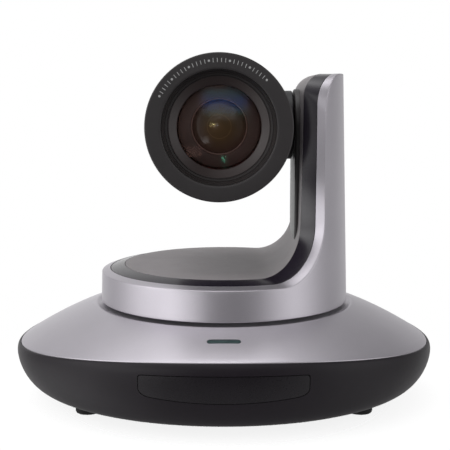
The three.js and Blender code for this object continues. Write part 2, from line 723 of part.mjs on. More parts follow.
function rearCap() {
  const r = HEAD.radius;
  const y = HEAD.rear + GAP;
  const plug = r - HEAD.wall - GAP;
  return turned([
    [0, y + 11.7], [22, y + 10.9], [30.5, y + 8.2], [35, y + 4.4], [r, y], [plug, y], [plug, y - 4],
    [plug - 2.2, y - 4], [plug - 2.2, y + 2], [20.5, y + 8.3], [0, y + 9.1],
  ], 'y', headCentre, 36);
}

function frontRing() {
  const { radius, opening, front, back } = RING;
  const plug = HEAD.radius - HEAD.wall - GAP;
  return turned([
    [opening, front + 0.5], [opening + 0.5, front], [radius - 0.7, front], [radius, front + 0.7],
    [radius, back], [plug, back], [plug, back + 4], [plug - 2.3, back + 4], [plug - 2.3, back - 3],
    [opening, back - 4.4], [opening, front + 0.5],
  ], 'y', headCentre, 40);
}

const BAFFLE = { mouth: 29.4, waist: 26.6, throat: 22, front: -50, step: -46, seat: -43.2, back: -41 };

function lensBaffle() {
  const { mouth, waist, throat, front, step, seat, back } = BAFFLE;
  return turned([
    [mouth, front], [waist, step], [throat, seat], [throat, back], [waist + 0.8, back],
    [mouth + 1.5, front + 1.6], [mouth, front],
  ], 'y', headCentre, 40);
}

// A lens: a disc whose front and back are domed by the given heights.
function lensProfile(radius, front, edgeFront, edgeBack, back) {
  const points = [];
  const steps = 3;
  for (let i = 0; i <= steps; i += 1) {
    const share = i / steps;
    points.push([radius * share, front + (edgeFront - front) * share * share]);
  }
  for (let i = steps; i >= 0; i -= 1) {
    const share = i / steps;
    points.push([radius * share, back + (edgeBack - back) * share * share]);
  }
  return points;
}

// A moving cell with its lens: `aperture` is the cell's clear radius.
function lensGroup(radius, aperture, front, back) {
  const rim = [[aperture, front], [radius, front], [radius, back], [aperture, back], [aperture, front]];
  const lens = lensProfile(aperture + 0.1, front - 0.5, front + 2, back - 2, back - 1);
  return join(solid(turned(rim, 'y', headCentre, 24)), solid(turned(lens, 'y', headCentre, 24)));
}

const LENS_BARREL = { outer: 27.6, inner: 24.8, front: -40.6, back: 22 };

function lensBracket() {
  const { x } = HEAD;
  const saddle = solid(block(x - 15, x + 15, -30, 18, TILT_Z - 36, TILT_Z - 18));
  const above = solid(rod(LENS_BARREL.outer + GAP, -60, 60, 'y', headCentre, 32));
  const within = solid(rod(HEAD.radius - HEAD.wall - GAP - 0.1, -60, 60, 'y', headCentre, 48));
  return cut(saddle, above).intersect(within);
}

function sensorBoard() {
  const { x } = HEAD;
  const y = LENS_BARREL.back + 4;
  const board = solid(block(x - 21, x + 21, y, y + 1.6, TILT_Z - 21, TILT_Z + 21));
  const sensor = solid(block(x - 6, x + 6, y - 1.8, y + 0.2, TILT_Z - 5, TILT_Z + 5));
  return join(board, sensor);
}

function headDisc() {
  const disc = solid(tube(HEAD_DISC.radius, SHAFT.outer + GAP, 16, HEAD_DISC.face, 'x', [0, 0, TILT_Z], 32));
  return cut(disc, solid(rod(HEAD.radius + GAP + 0.1, -70, 70, 'y', headCentre, 48)));
}

// ---------------------------------------------------------------- assembly

const camera = new THREE.Group();

function add(name, shape, look) {
  const geometry = shape.isBufferGeometry ? shape : toGeometry(shape);
  const mesh = new THREE.Mesh(geometry, LOOK[look]());
  mesh.name = name;
  camera.add(mesh);
}

function addBase() {
  add('base_lower_shell', baseLowerShell(), 'blackSatin');
  add('base_top_cover', baseTopCover(), 'silver');
  add('ir_window', irWindow(), 'windowPlastic');
  add('ir_receiver_board', block(-10, 10, -84, -82.4, 16, 34), 'board');
  add('ir_receiver', block(-4, 4, -89.5, -84.3, 22, 31), 'darkPlastic');
  add('status_light_bar', lightBarPrism(0, 0), 'lightBar');
  add('base_plate', basePlate(), 'steel');
  add('tripod_insert', tripodInsert(), 'brass');
  ['front_left', 'front_right', 'rear_left', 'rear_right'].forEach((place, i) => {
    const [x, y] = corners(FOOT.x, FOOT.y)[i];
    add(`foot_${place}`, turned(footGeometry(), 'z', [x, y, 0], 18), 'rubber');
  });
  corners(LEG.place, LEG.place).forEach(([x, y], i) => {
    add(`base_screw_${i + 1}`, turned(screwProfile(), 'z', [x, y, 0], 10), 'steel');
  });
  add('rear_connector_bay', rearBay(), 'blackSatin');
  SOCKETS.forEach((spec) => {
    add(spec.name, socketBody(spec), spec.hole === 'slot' ? 'socketMetal' : 'darkPlastic');
  });
  add('main_board', mainBoard(), 'board');
  add('pan_chassis', panChassis(), 'castAlloy');
  const { outer, bottom, top } = PAN_BEARING;
  add('pan_bearing', tube(outer, HUB.outer + GAP, bottom, top, 'z', [0, 0, 0], 36), 'steel');
  add('pan_motor', panMotor(), 'steel');
  add('pan_pinion', panPinion(), 'brass');
}

function addTurntable() {
  add('turntable_shell', turntableShell(), 'silver');
  add('trim_band', trimBand(), 'blackGloss');
  add('inner_panel', innerPanel(), 'panelGrey');
  add('tilt_boss_cover', tiltBoss(), 'blackSatin');
  add('turntable_plate', turntablePlate(), 'castAlloy');
  add('pan_hub', panHub(), 'castAlloy');
  const { teeth, z, width } = PAN_GEAR;
  add('pan_gear', prism(gearShape(teeth, HUB.outer + GAP), 'z', z, z + width, 10), 'acetal');
  add('yoke_frame', yokeFrame(), 'castAlloy');
  add('tilt_motor', tiltMotor(), 'steel');
  const bearing = tube(11, SHAFT.outer + GAP, YOKE.x - 0.7, YOKE.x + 3.2, 'x', [0, 0, TILT_Z], 28);
  add('tilt_bearing', bearing, 'steel');
  add('arm_wire_harness', armHarness(), 'rubber');
  add('tilt_pinion', tiltPinion(), 'brass');
}

function addHead() {
  add('head_barrel', headBarrel(), 'blackSatin');
  add('head_rear_cap', rearCap(), 'blackSatin');
  add('front_ring', frontRing(), 'blackSatin');
  add('lens_baffle', lensBaffle(), 'darkPlastic');
  add('front_lens', turned(lensProfile(21.6, -46.3, -42.6, -38.5, -41), 'y', headCentre, 40), 'glass');
  const { outer, inner, front, back } = LENS_BARREL;
  add('lens_barrel', tube(outer, inner, front, back, 'y', headCentre, 32), 'darkPlastic');
  add('focus_lens_group', lensGroup(22, 14.5, -30, -23), 'glass');
  add('zoom_lens_group', lensGroup(20, 11, -6, 4), 'glass');
  add('lens_bracket', lensBracket(), 'castAlloy');
  add('sensor_board', sensorBoard(), 'board');
  add('head_disc', headDisc(), 'blackSatin');
  add('tilt_shaft', tube(SHAFT.outer, SHAFT.inner, SHAFT.from, SHAFT.to, 'x', [0, 0, TILT_Z], 24), 'steel');
  const { teeth, x, width } = TILT_GEAR;
  const gear = prism(gearShape(teeth, SHAFT.outer + GAP), 'x', x, x + width, 8);
  add('tilt_gear', gear.translate(0, 0, TILT_Z), 'acetal');
}

addBase();
addTurntable();
addHead();

export default camera;
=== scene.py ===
import math

import bmesh
import bpy
from mathutils import Matrix, Vector


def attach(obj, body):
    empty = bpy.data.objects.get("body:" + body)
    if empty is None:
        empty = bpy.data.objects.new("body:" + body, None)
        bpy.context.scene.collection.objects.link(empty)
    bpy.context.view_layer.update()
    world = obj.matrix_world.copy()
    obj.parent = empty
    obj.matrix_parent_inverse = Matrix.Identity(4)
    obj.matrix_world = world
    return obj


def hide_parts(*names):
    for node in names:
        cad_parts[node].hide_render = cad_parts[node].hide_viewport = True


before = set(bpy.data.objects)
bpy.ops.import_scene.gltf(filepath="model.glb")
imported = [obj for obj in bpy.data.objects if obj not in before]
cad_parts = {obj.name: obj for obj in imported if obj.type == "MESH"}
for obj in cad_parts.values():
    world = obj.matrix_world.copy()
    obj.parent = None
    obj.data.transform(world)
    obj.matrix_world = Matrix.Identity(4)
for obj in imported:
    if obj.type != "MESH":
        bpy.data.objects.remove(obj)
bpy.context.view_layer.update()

# Pan-tilt-zoom conference camera. Shapes are worked out in millimetres in the row frame: the pan
# axis is Z, the lens looks along -Y, and the arm is on +X. They are scaled to metres as they are made.
MM = 0.001
TAU = math.tau

# ---- driving dimensions

COVER_A, COVER_B = 115.65, 98.85
NOSE_OUT, NOSE_DROP = 2.15, 4.7
LIP_OUT, LIP_DROP = 0.55, 0.3
FLOOR_Z, WALL, BOTTOM_SCALE = 5.7, 2.5, 0.82
SIDE_BULGE, FOOT_BULGE = 2.28, 1.7
LEDGE_DROP, LEDGE_WIDTH, EDGE_WALL = 3.0, 2.0, 2.0
DOME_R, DOME_Z, DOME_SLOPE, DOME_CURVE = 72.8, 53.6, 0.352, 0.0034
NECK_R, WELL_R, WELL_Z, WELL_HOLE, COVER_WALL = 70.6, 66.0, 52.6, 16.5, 2.3
RING_STEPS, BOWL_STEPS, SHOULDER_STEPS, INSIDE_STEPS, DOME_STEPS = 256, 30, 8, 8, 24

TURN_BOTTOM_Z, TURN_BOTTOM_R, TURN_WALL = 54.9, 69.9, 2.2
ARM_TOP = 181.2
SKIN, GAP = 2.0, 0.3
# The arm's edges: their circle, the floor's and the arm's planes, the bends at foot and head, and the waist.
OUTER = dict(r=69.4, draft=0.0272, floor=71.3, face=53.1, lean=0.0, fx=22.0, fz=33.0, hx=10.0, hz=22.0,
             waist=())
RIM = dict(r=64.8, draft=0.02, floor=72.9, face=48.4, lean=0.006, fx=23.0, fz=28.5, hx=11.3, hz=17.2,
           waist=((74.0, 0.0), (98.0, 1.4), (141.0, -0.7), (172.0, 0.0)))
PANEL = dict(r=56.6, draft=0.01, floor=74.8, face=40.8, lean=0.014, fx=22.0, fz=26.0, hx=12.0, hz=12.2,
             waist=((74.0, 0.0), (95.0, 2.9), (130.0, -0.7), (172.0, 0.0)))
STATIONS = dict(floor=72, foot=30, arm=20, head=24, top=12)
LEAN_FROM, ARM_CREASE = 100.0, 40.0

TILT_Z = 153.0
HEAD_X, HEAD_R = -2.5, 36.6
HEAD = (HEAD_X, 0.0, TILT_Z)
PLUG_R = HEAD_R - 2.7
SHAFT_HOLE, DISC_HOLE = 6.8, 6.3
BOSS_FACE, BOSS_R, BOSS_LOW = 38.8, 20.0, 84.0
RING_R, RING_HOLE, RING_FRONT, RING_BACK = 38.3, 29.85, -53.8, -46.0
GLASS_R, BAFFLE_STEP = 21.9, 26.2
FOCUS_R, FOCUS_LIP, ZOOM_R = 14.5, 15.2, 11.1
PAST = 130.0  # far enough out for a cut to pass through the side of anything


# ---- materials

NOISE_LOW, NOISE_HIGH = 0.3, 0.7  # nearly all of a noise texture's values lie between these


class Graph:
    """A node tree, built by short calls."""

    def __init__(self, tree):
        self.tree = tree

    def add(self, kind, **settings):
        node = self.tree.nodes.new(kind)
        for key, value in settings.items():
            setattr(node, key, value)
        return node

    def put(self, node, **values):
        """Gives a node's inputs fixed values; an input's name has _ for its spaces."""
        for key, value in values.items():
            node.inputs[key.replace("_", " ")].default_value = value
        return node

    def link(self, output, target):
        self.tree.links.new(output, target)

    def math(self, operation, *values):
        node = self.add("ShaderNodeMath", operation=operation)
        for socket, value in zip(node.inputs, values):
            if isinstance(value, (int, float)):
                socket.default_value = value
            else:
                self.link(value, socket)
        return node.outputs["Value"]

    def vector(self, operation, source, fixed=(0.0, 0.0, 0.0)):
        node = self.add("ShaderNodeVectorMath", operation=operation)
        self.link(source, node.inputs[0])
        node.inputs[1].default_value = fixed
        return node


class Nodes(Graph):
    """A material's node tree around its Principled BSDF, in object coordinates."""

    def __init__(self, name):
        self.material = bpy.data.materials.new(name)
        self.material.use_nodes = True
        super().__init__(self.material.node_tree)
        self.surface = self.tree.nodes["Principled BSDF"]
        self.coords = self.add("ShaderNodeTexCoord").outputs["Object"]

    def noise(self, scale, detail=4.0, roughness=0.55, stretch=None):
        node = self.put(self.add("ShaderNodeTexNoise"), Scale=scale, Detail=detail, Roughness=roughness)
        source = self.coords
        if stretch:
            mapping = self.put(self.add("ShaderNodeMapping"), Scale=stretch)
            self.link(source, mapping.inputs["Vector"])
            source = mapping.outputs["Vector"]
        self.link(source, node.inputs["Vector"])
        return node.outputs["Fac"]

    def spread(self, value, low, high, start=NOISE_LOW, end=NOISE_HIGH):
        """Stretches the values from `start` to `end` over the range from `low` to `high`."""
        node = self.put(self.add("ShaderNodeMapRange"), From_Min=start, From_Max=end, To_Min=low, To_Max=high)
        self.link(value, node.inputs["Value"])
        return node.outputs["Result"]

    def ramp(self, value, stops):
        node = self.add("ShaderNodeValToRGB")
        elements = node.color_ramp.elements
        while len(elements) < len(stops):
            elements.new(0.5)
        for element, (at, colour) in zip(elements, stops):
            element.position = at
            element.color = (*colour, 1.0)
        self.link(value, node.inputs["Fac"])
        return node.outputs["Color"]

    def bump(self, height, strength, distance=0.0001, over=None):
        node = self.put(self.add("ShaderNodeBump"), Strength=strength, Distance=distance)
        self.link(height, node.inputs["Height"])
        if over:
            self.link(over, node.inputs["Normal"])
        return node.outputs["Normal"]

    def radius(self, axis, centre=(0.0, 0.0, 0.0)):
        """The distance from an axis through `centre`, in millimetres."""
        shifted = self.vector("SUBTRACT", self.coords, [c * MM for c in centre])
        keep = [0.0 if i == axis else 1.0 / MM for i in range(3)]
        flat = self.vector("MULTIPLY", shifted.outputs["Vector"], keep)
        return self.vector("LENGTH", flat.outputs["Vector"]).outputs["Value"]

    def set(self, **values):
        self.put(self.surface, **values)

    def feed(self, **outputs):
        for key, output in outputs.items():
            self.link(output, self.surface.inputs[key.replace("_", " ")])


def two_tone(n, value, dark, light):
    return n.ramp(value, ((NOISE_LOW, dark), (NOISE_HIGH, light)))


def shaded(n, value, tone, dark, light):
    """A tone that a noise darkens and lightens by two factors."""
    return two_tone(n, value, scaled(tone, dark), scaled(tone, light))


def scaled(colour, k):
    return tuple(min(c * k, 1.0) for c in colour)


def silver_paint(name, tone):
    """Sprayed metallic paint: fine bright flakes in a slightly cloudy coat with an orange-peel skin."""
    n = Nodes(name)
    flakes = n.noise(5200.0, detail=2.0, roughness=0.7)
    clouds = n.noise(38.0, detail=3.0)
    peel = n.noise(1500.0, detail=2.0)
    shade = n.math("MULTIPLY", n.spread(flakes, 0.86, 1.14), n.spread(clouds, 0.97, 1.03))
    shade = n.spread(shade, 0.0, 1.0, 0.8, 1.2)
    n.feed(Base_Color=n.ramp(shade, ((0.0, scaled(tone, 0.84)), (1.0, scaled(tone, 1.16)))))
    n.feed(Roughness=n.spread(flakes, 0.33, 0.42), Metallic=n.spread(flakes, 0.72, 0.86))
    n.feed(Normal=n.bump(peel, 0.06, 0.00005, over=n.bump(flakes, 0.1, 0.00002)))
    n.set(Coat_Weight=0.12, Coat_Roughness=0.22)
    return n.material


def moulded(name, tone, roughness=0.42, grain=0.22, scale=2600.0, specular=0.42):
    """Spark-textured moulded plastic, with faint flow shading and slightly polished high spots."""
    n = Nodes(name)
    texture = n.noise(scale, detail=3.0, roughness=0.6)
    flow = n.noise(24.0, detail=3.0)
    dust = n.noise(420.0, roughness=0.7)
    n.feed(Base_Color=shaded(n, flow, tone, 0.86, 1.14))
    polish = n.spread(texture, roughness - 0.05, roughness + 0.06)
    n.feed(Roughness=n.math("ADD", polish, n.spread(dust, -0.02, 0.03)))
    n.feed(Normal=n.bump(texture, grain, 0.00003))
    n.set(Specular_IOR_Level=specular)
    return n.material


def gloss(name, tone, roughness=0.07, waves=0.03, specular=0.5):
    """Polished plastic, with faint waves and a slight haze."""
    n = Nodes(name)
    flow = n.noise(60.0, detail=2.0)
    haze = n.noise(700.0, detail=3.0, roughness=0.7)
    n.feed(Base_Color=shaded(n, flow, tone, 0.9, 1.1))
    n.feed(Roughness=n.spread(haze, roughness, roughness + 0.05))
    n.feed(Normal=n.bump(flow, waves, 0.0001))
    n.set(Specular_IOR_Level=specular)
    return n.material


def metal(name, tone, roughness, brush=None, grain=0.12):
    """Machined, plated or cast metal; `brush` stretches its grain along an axis."""
    n = Nodes(name)
    lines = n.noise(900.0, roughness=0.65, stretch=brush)
    clouds = n.noise(60.0, detail=3.0)
    n.feed(Base_Color=shaded(n, clouds, tone, 0.88, 1.1))
    n.feed(Roughness=n.spread(lines, roughness - 0.06, roughness + 0.1))
    n.feed(Normal=n.bump(lines, grain, 0.00004))
    n.set(Metallic=1.0)
    return n.material


def circuit_board():
    """Green solder mask over a grid of tracks."""
    n = Nodes("solder_mask")
    cells = n.put(n.add("ShaderNodeTexBrick"), Scale=180.0, Mortar_Size=0.035)
    n.put(cells, Color1=(0.012, 0.1, 0.04, 1), Color2=(0.015, 0.12, 0.05, 1), Mortar=(0.05, 0.22, 0.09, 1))
    n.link(n.coords, cells.inputs["Vector"])
    n.feed(Base_Color=cells.outputs["Color"], Normal=n.bump(cells.outputs["Fac"], 0.2, 0.00005))
    n.set(Roughness=0.38)
    return n.material


def baffle_finish(name, bevel, matt, edge):
    """Matt black anti-reflection paint, with a satin retaining ring inside the radius `edge`."""
    n = Nodes(name)
    outside = n.spread(n.radius(1, HEAD), 0.0, 1.0, edge - 0.1, edge + 0.3)
    dust = n.noise(900.0, detail=3.0)
    n.feed(Base_Color=n.ramp(outside, ((0.0, bevel), (1.0, matt))))
    n.feed(Roughness=n.math("ADD", n.spread(outside, 0.34, 0.52, 0.0, 1.0), n.spread(dust, -0.03, 0.04)))
    n.feed(Normal=n.bump(n.noise(2400.0, detail=3.0), 0.08, 0.00003))
    n.set(Specular_IOR_Level=0.4)
    return n.material


def cell_finish(name, tone, lip, lip_end, bright):
    """A lens cell turned from dark alloy, whose inner lip is painted `bright` times as light: a painted
    highlight ring.
    """
    n = Nodes(name)
    along = n.spread(n.radius(1, HEAD), 0.0, 1.0, lip, lip_end)
    grain = n.noise(1400.0, detail=3.0)
    painted_lip_highlight = scaled(tone, bright)
    n.feed(Base_Color=n.ramp(along, ((0.0, painted_lip_highlight), (0.75, painted_lip_highlight), (1.0, tone))))
    n.feed(Roughness=n.spread(grain, 0.32, 0.44), Normal=n.bump(grain, 0.08, 0.00003))
    return n.material


def inner_coat(name, middle, edge, line, reach):
    """A lens deep in the barrel, brown towards the rim, with a painted bright ring that stands for a
    reflection ring.

    line: the painted ring's radius as a share of the lens's radius, `reach`.
    """
    n = Nodes(name)
    wobble = n.spread(n.noise(60.0), -0.2, 0.2)
    out = n.math("DIVIDE", n.math("ADD", n.radius(1, HEAD), wobble), reach)
    beside, half = scaled(middle, 0.9), 0.02
    # The ring at `line` is painted 1.7 times as light: a painted reflection ring.
    n.feed(Base_Color=n.ramp(out, (
        (0, middle), (line - half, beside), (line, scaled(middle, 1.7)), (line + half, beside), (1, edge),
    )))
    n.feed(Roughness=n.spread(n.noise(500.0), 0.12, 0.2))
    n.set(Specular_IOR_Level=0.5)
    return n.material


def mixed(n, mix, first, second):
    """Two shaders mixed by the node `mix`."""
    n.link(first, mix.inputs[1])
    n.link(second, mix.inputs[2])
    return mix.outputs["Shader"]


def glass_painted_reflection_hue(name, tint, stops, aside, patch, strength):
    """Optical glass behind a many-layered coating, with a painted reflection hue that changes by place across
    the dome.

    stops: (height above the lens's middle in millimetres, colour of the reflection there). Away from `patch`
    millimetres to the side, the reflection turns to the colour `aside`. The hues are painted where the studio
    lamps' coloured reflections fall, so they are painted reflection colour; the reflections' brightness comes
    from the lamps.
    """
    n = Nodes(name)
    n.tree.nodes.remove(n.surface)
    clear = n.put(n.add("ShaderNodeBsdfTransparent"), Color=(*tint, 1))
    axes = n.add("ShaderNodeSeparateXYZ")
    n.link(n.coords, axes.inputs["Vector"])
    bloom = n.spread(n.noise(90.0, detail=2.0), -1.5 * MM, 1.5 * MM)
    height = n.math("ADD", axes.outputs["Z"], bloom)
    low, high = stops[0][0], stops[-1][0]
    up = n.spread(height, 0.0, 1.0, (TILT_Z + low) * MM, (TILT_Z + high) * MM)
    middle = n.ramp(up, [((at - low) / (high - low), colour) for at, colour in stops])
    sideways = n.math("ABSOLUTE", n.math("SUBTRACT", axes.outputs["X"], (HEAD_X + patch) * MM))
    hue = n.add("ShaderNodeMix", data_type="RGBA")
    n.link(n.spread(sideways, 0.0, 1.0, 8.0 * MM, 15.0 * MM), hue.inputs["Factor"])
    n.link(middle, hue.inputs["A"])
    hue.inputs["B"].default_value = (*aside, 1.0)
    shines = []
    for roughness in (0.1, 0.02):
        shine = n.put(n.add("ShaderNodeBsdfAnisotropic"), Roughness=roughness)
        n.link(hue.outputs["Result"], shine.inputs["Color"])
        shines.append(shine.outputs["BSDF"])
    coating = mixed(n, n.put(n.add("ShaderNodeMixShader"), Fac=0.3), *shines)
    fresnel = n.put(n.add("ShaderNodeFresnel"), IOR=1.62)
    amount = n.math("MINIMUM", n.math("MULTIPLY", fresnel.outputs["Fac"], strength), 1.0)
    by_angle = n.add("ShaderNodeMixShader")
    n.link(amount, by_angle.inputs["Fac"])
    surface = mixed(n, by_angle, clear.outputs["BSDF"], coating)
    n.link(surface, n.tree.nodes["Material Output"].inputs["Surface"])
    return n.material


SILVER = silver_paint("silver_paint", (0.482, 0.458, 0.5))
SATIN = moulded("satin_black", (0.014, 0.0128, 0.015))
SHELL = moulded("shell_black", (0.0125, 0.0097, 0.0132), 0.4, scale=2300.0, specular=0.21)
RING_SATIN = moulded("ring_black", (0.0265, 0.0235, 0.0245), 0.4, grain=0.14, scale=3200.0)
PANEL_GREY = moulded("panel_grey", (0.24, 0.22, 0.229), 0.5, grain=0.16, scale=3000.0, specular=0.35)
BAY_GREY = moulded("bay_grey", (0.085, 0.082, 0.086), 0.5, grain=0.2, scale=2200.0, specular=0.4)
RUBBER = moulded("rubber", (0.012, 0.012, 0.0125), 0.8, grain=0.5, scale=1500.0, specular=0.3)
INNER_BLACK = moulded("dark_plastic", (0.008, 0.0078, 0.0085), 0.5, grain=0.2, scale=2000.0, specular=0.35)
BARREL_BROWN = moulded("barrel_brown", (0.07, 0.045, 0.04), 0.5, grain=0.1, scale=1800.0, specular=0.4)
ACETAL = moulded("acetal", (0.68, 0.65, 0.58), 0.4, grain=0.1, scale=1800.0, specular=0.5)
GLOSS = gloss("gloss_black", (0.01, 0.0095, 0.012))
TRIM = gloss("trim_black", (0.0165, 0.0128, 0.0205), roughness=0.2, waves=0.02, specular=0.62)
WINDOW = gloss("window_black", (0.0105, 0.0085, 0.0112), roughness=0.26, waves=0.01, specular=0.36)
STEEL = metal("plated_steel", (0.5, 0.51, 0.53), roughness=0.28)
CAST = metal("cast_alloy", (0.33, 0.34, 0.35), roughness=0.48, grain=0.35)
BRASS = metal("brass", (0.6, 0.43, 0.17), roughness=0.27)
SOCKET_METAL = metal("nickel_plate", (0.6, 0.6, 0.61), roughness=0.24, brush=(1.0, 1.0, 14.0))
BAFFLE_BLACK = baffle_finish("baffle_black", (0.024, 0.0145, 0.014), (0.0085, 0.0055, 0.0055), BAFFLE_STEP)
# The cells' inner lip is painted 3.2 times as light, a painted highlight ring.
CELL_BROWN = cell_finish("cell_brown", (0.11, 0.072, 0.062), FOCUS_R, FOCUS_LIP, 3.2)
BOARD = circuit_board()


# ---- mesh making

CREASE = 32.0  # degrees


def raw_mesh(part):
    """A mesh from a part, which is a pair: points in millimetres, and the faces over them."""
    verts, faces = part
    mesh = bpy.data.meshes.new("part")
    mesh.from_pydata([tuple(c * MM for c in v) for v in verts], [], faces)
    return mesh


def piece(name, part, material, body, stands_for=(), crease=CREASE):
    """A finished piece from a part."""
    place(name, raw_mesh(part), material, body, stands_for, crease)


def place(name, mesh, material, body, stands_for=(), crease=CREASE):
    """A finished piece from a mesh, smooth but for edges sharper than `crease` degrees."""
    mesh.name = name
    tidy(mesh, crease)
    mesh.materials.clear()
    mesh.materials.append(material)
    obj = bpy.data.objects.new(name, mesh)
    bpy.context.scene.collection.objects.link(obj)
    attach(obj, body)
    if stands_for:
        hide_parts(*stands_for)


def tidy(mesh, crease):
    """Merges points that coincide and turns the faces out."""
    bm = bmesh.new()
    bm.from_mesh(mesh)
    same = 0.002 * MM
    bmesh.ops.remove_doubles(bm, verts=bm.verts, dist=same)
    bmesh.ops.dissolve_degenerate(bm, edges=bm.edges, dist=same)
    bmesh.ops.recalc_face_normals(bm, faces=bm.faces)
    bm.to_mesh(mesh)
    bm.free()
    mesh.shade_smooth()
    mesh.set_sharp_from_angle(angle=math.radians(crease))


def skin(loops, ring=False):
    """A part over loops of equal length, which is capped at both ends or, with `ring`, closed on itself."""
    count = len(loops[0])
    verts = [p for loop in loops for p in loop]
    faces = []
    spans = len(loops) if ring else len(loops) - 1
    for k in range(spans):
        here, there = k * count, ((k + 1) % len(loops)) * count
        for i in range(count):
            j = (i + 1) % count
            faces.append((here + i, here + j, there + j, there + i))
    if not ring:
        faces.append(tuple(range(count))[::-1])
        faces.append(tuple((len(loops) - 1) * count + i for i in range(count)))
    return verts, faces


def tidy_mesh(part):
    mesh = raw_mesh(part)
    tidy(mesh, CREASE)
    return mesh


def combine(part, cuts=(), within=()):
    """The mesh of a part less each of `cuts`, and then only what lies in each of `within`."""
    mesh = tidy_mesh(part)
    steps = [("DIFFERENCE", cut) for cut in cuts] + [("INTERSECT", bound) for bound in within]
    for operation, tool in steps:
        bodies = [bpy.data.objects.new("work", m) for m in (mesh, tidy_mesh(tool))]
        for o in bodies:
            bpy.context.scene.collection.objects.link(o)
        step = bodies[0].modifiers.new("cut", "BOOLEAN")
        step.object = bodies[1]
        step.operation = operation
        step.solver = "EXACT"
        bpy.context.view_layer.update()
        graph = bpy.context.evaluated_depsgraph_get()
        mesh = bpy.data.meshes.new_from_object(bodies[0].evaluated_get(graph))
        for o in bodies:
            bpy.data.objects.remove(o)
    return mesh


def corner(before, point, after, radius, steps):
    """A corner rounded over at most 0.45 of the edges beside it."""
    point = Vector(point)
    start, end = (
        point + side * min(radius / max(side.length, 1e-6), 0.45)
        for side in (Vector(before) - point, Vector(after) - point)
    )
    return [
        start * (1 - t) ** 2 + point * 2 * t * (1 - t) + end * t * t
        for t in (s / steps for s in range(steps + 1))
    ]


def rounded_rows(rows, radii, steps):
    """Rounds the corners of the polyline that each station draws across the rows.

    rows: loops of equal length; radii: one radius per row, 0 where the corner stays sharp.
    """
    out = [rows[0]]
    for *three, radius in zip(rows, rows[1:], rows[2:], radii[1:]):
        if radius > 0:
            out += zip(*(corner(a, p, b, radius, steps) for a, p, b in zip(*three)))
        else:
            out.append(three[1])
    return out + [rows[-1]]


def between(row_a, row_b, count):
    """`count` rows evenly between two rows, without either."""
    return [
        [Vector(a).lerp(Vector(b), (k + 1) / (count + 1)) for a, b in zip(row_a, row_b)]
        for k in range(count)
    ]


def filleted(profile, steps):
    """A profile of (x, y, radius) whose corners are rounded by their own radius."""
    out = []
    for before, (x, y, radius), after in zip(profile[-1:] + profile, profile, profile[1:] + profile[:1]):
        out += corner(before[:2], (x, y), after[:2], radius, steps) if radius > 0 else [(x, y)]
    return out


def on_axis(axis, radius, angle, height, centre):
    point = [radius * math.cos(angle), radius * math.sin(angle)]
    point.insert("xyz".index(axis), height)
    return [a + b for a, b in zip(point, centre)]


def lathe(profile, axis, centre, segments, ring=True):
    """A profile of (radius, height) turned about an axis. A ring profile is closed on itself."""
    loops = []
    for p in profile:
        radius = max(p[0], 0.0005)
        loops.append([on_axis(axis, radius, TAU * i / segments, p[1], centre) for i in range(segments)])
    return skin(loops, ring)


def prism(outline, axis, low, high):
    """An outline of points in the other two axes, pushed along an axis."""
    at = "xyz".index(axis)
    return skin([[(*point[:at], level, *point[at:]) for point in outline] for level in (low, high)])


def box(x0, x1, y0, y1, z0, z1):
    return prism([(x0, z0), (x1, z0), (x1, z1), (x0, z1)], "y", y0, y1)


def solid(profile, axis, centre, segments):
    """A profile that runs from end to end of the axis, turned about it."""
    return lathe(profile, axis, centre, segments, ring=False)


def rod(axis, radius, low, high, centre, segments=48):
    return solid([(radius, low), (radius, high)], axis, centre, segments)


def joined(parts):
    verts, faces = [], []
    for v, f in parts:
        base = len(verts)
        verts.extend(v)
        faces.extend(tuple(i + base for i in face) for face in f)
    return verts, faces


def round_rect(x, z, width, height, radius, steps=8):
    """The outline of a rectangle round (x, z) with round corners, from the lower right to the lower left."""
    w, h = width / 2 - radius, height / 2 - radius
    out = []
    for k, (cx, cz) in enumerate([(w, -h), (w, h), (-w, h), (-w, -h)]):
        for s in range(steps + 1):
            a = math.pi / 2 * (k - 1 + s / steps)
            out.append((x + cx + radius * math.cos(a), z + cz + radius * math.sin(a)))
    return out


def quad_curve(a, control, b, steps=12):
    """A curve from `a` towards `control` and on to just short of `b`."""
    a, control, b = Vector(a), Vector(control), Vector(b)
    return [tuple(a * (1 - t) ** 2 + control * 2 * t * (1 - t) + b * t * t)
            for t in (s / steps for s in range(steps))]


# ---- base


def dome_z(radius):
    out = radius - DOME_R
    return DOME_Z - DOME_SLOPE * out - DOME_CURVE * out * out


def ellipse_radius(a, b, angle):
    return a * b / math.hypot(b * math.cos(angle), a * math.sin(angle))


def plan_loop(a, b, height):
    loop = []
    for i in range(RING_STEPS):
        angle = TAU * i / RING_STEPS
        radius = ellipse_radius(a, b, angle)
        z = height(angle, radius) if callable(height) else height
        loop.append((radius * math.cos(angle), radius * math.sin(angle), z))
    return loop


def edge_z(angle):
    return dome_z(ellipse_radius(COVER_A, COVER_B, angle))


def beside_edge(out, drop):
    return plan_loop(COVER_A + out, COVER_B + out, lambda angle, radius: edge_z(angle) - drop)


def bowl_loop(t, inset):
    turn = t * math.pi / 2
    out = max(math.cos(turn), 0.0) ** (2 / SIDE_BULGE)
    down = math.sin(turn) ** (2 / FOOT_BULGE)
    scale = BOTTOM_SCALE + (1 - BOTTOM_SCALE) * out
    low = FLOOR_Z + inset
    a = (COVER_A + NOSE_OUT) * scale - inset
    b = (COVER_B + NOSE_OUT) * scale - inset

    def height(angle, radius):
        high = edge_z(angle) - NOSE_DROP
        return high + (low - high) * down

    return plan_loop(a, b, height)


def outside_bowl():
    """The base's outside, from its flat bottom up to its widest loop."""
    return [bowl_loop(k / BOWL_STEPS, 0.0) for k in range(BOWL_STEPS, -1, -1)]


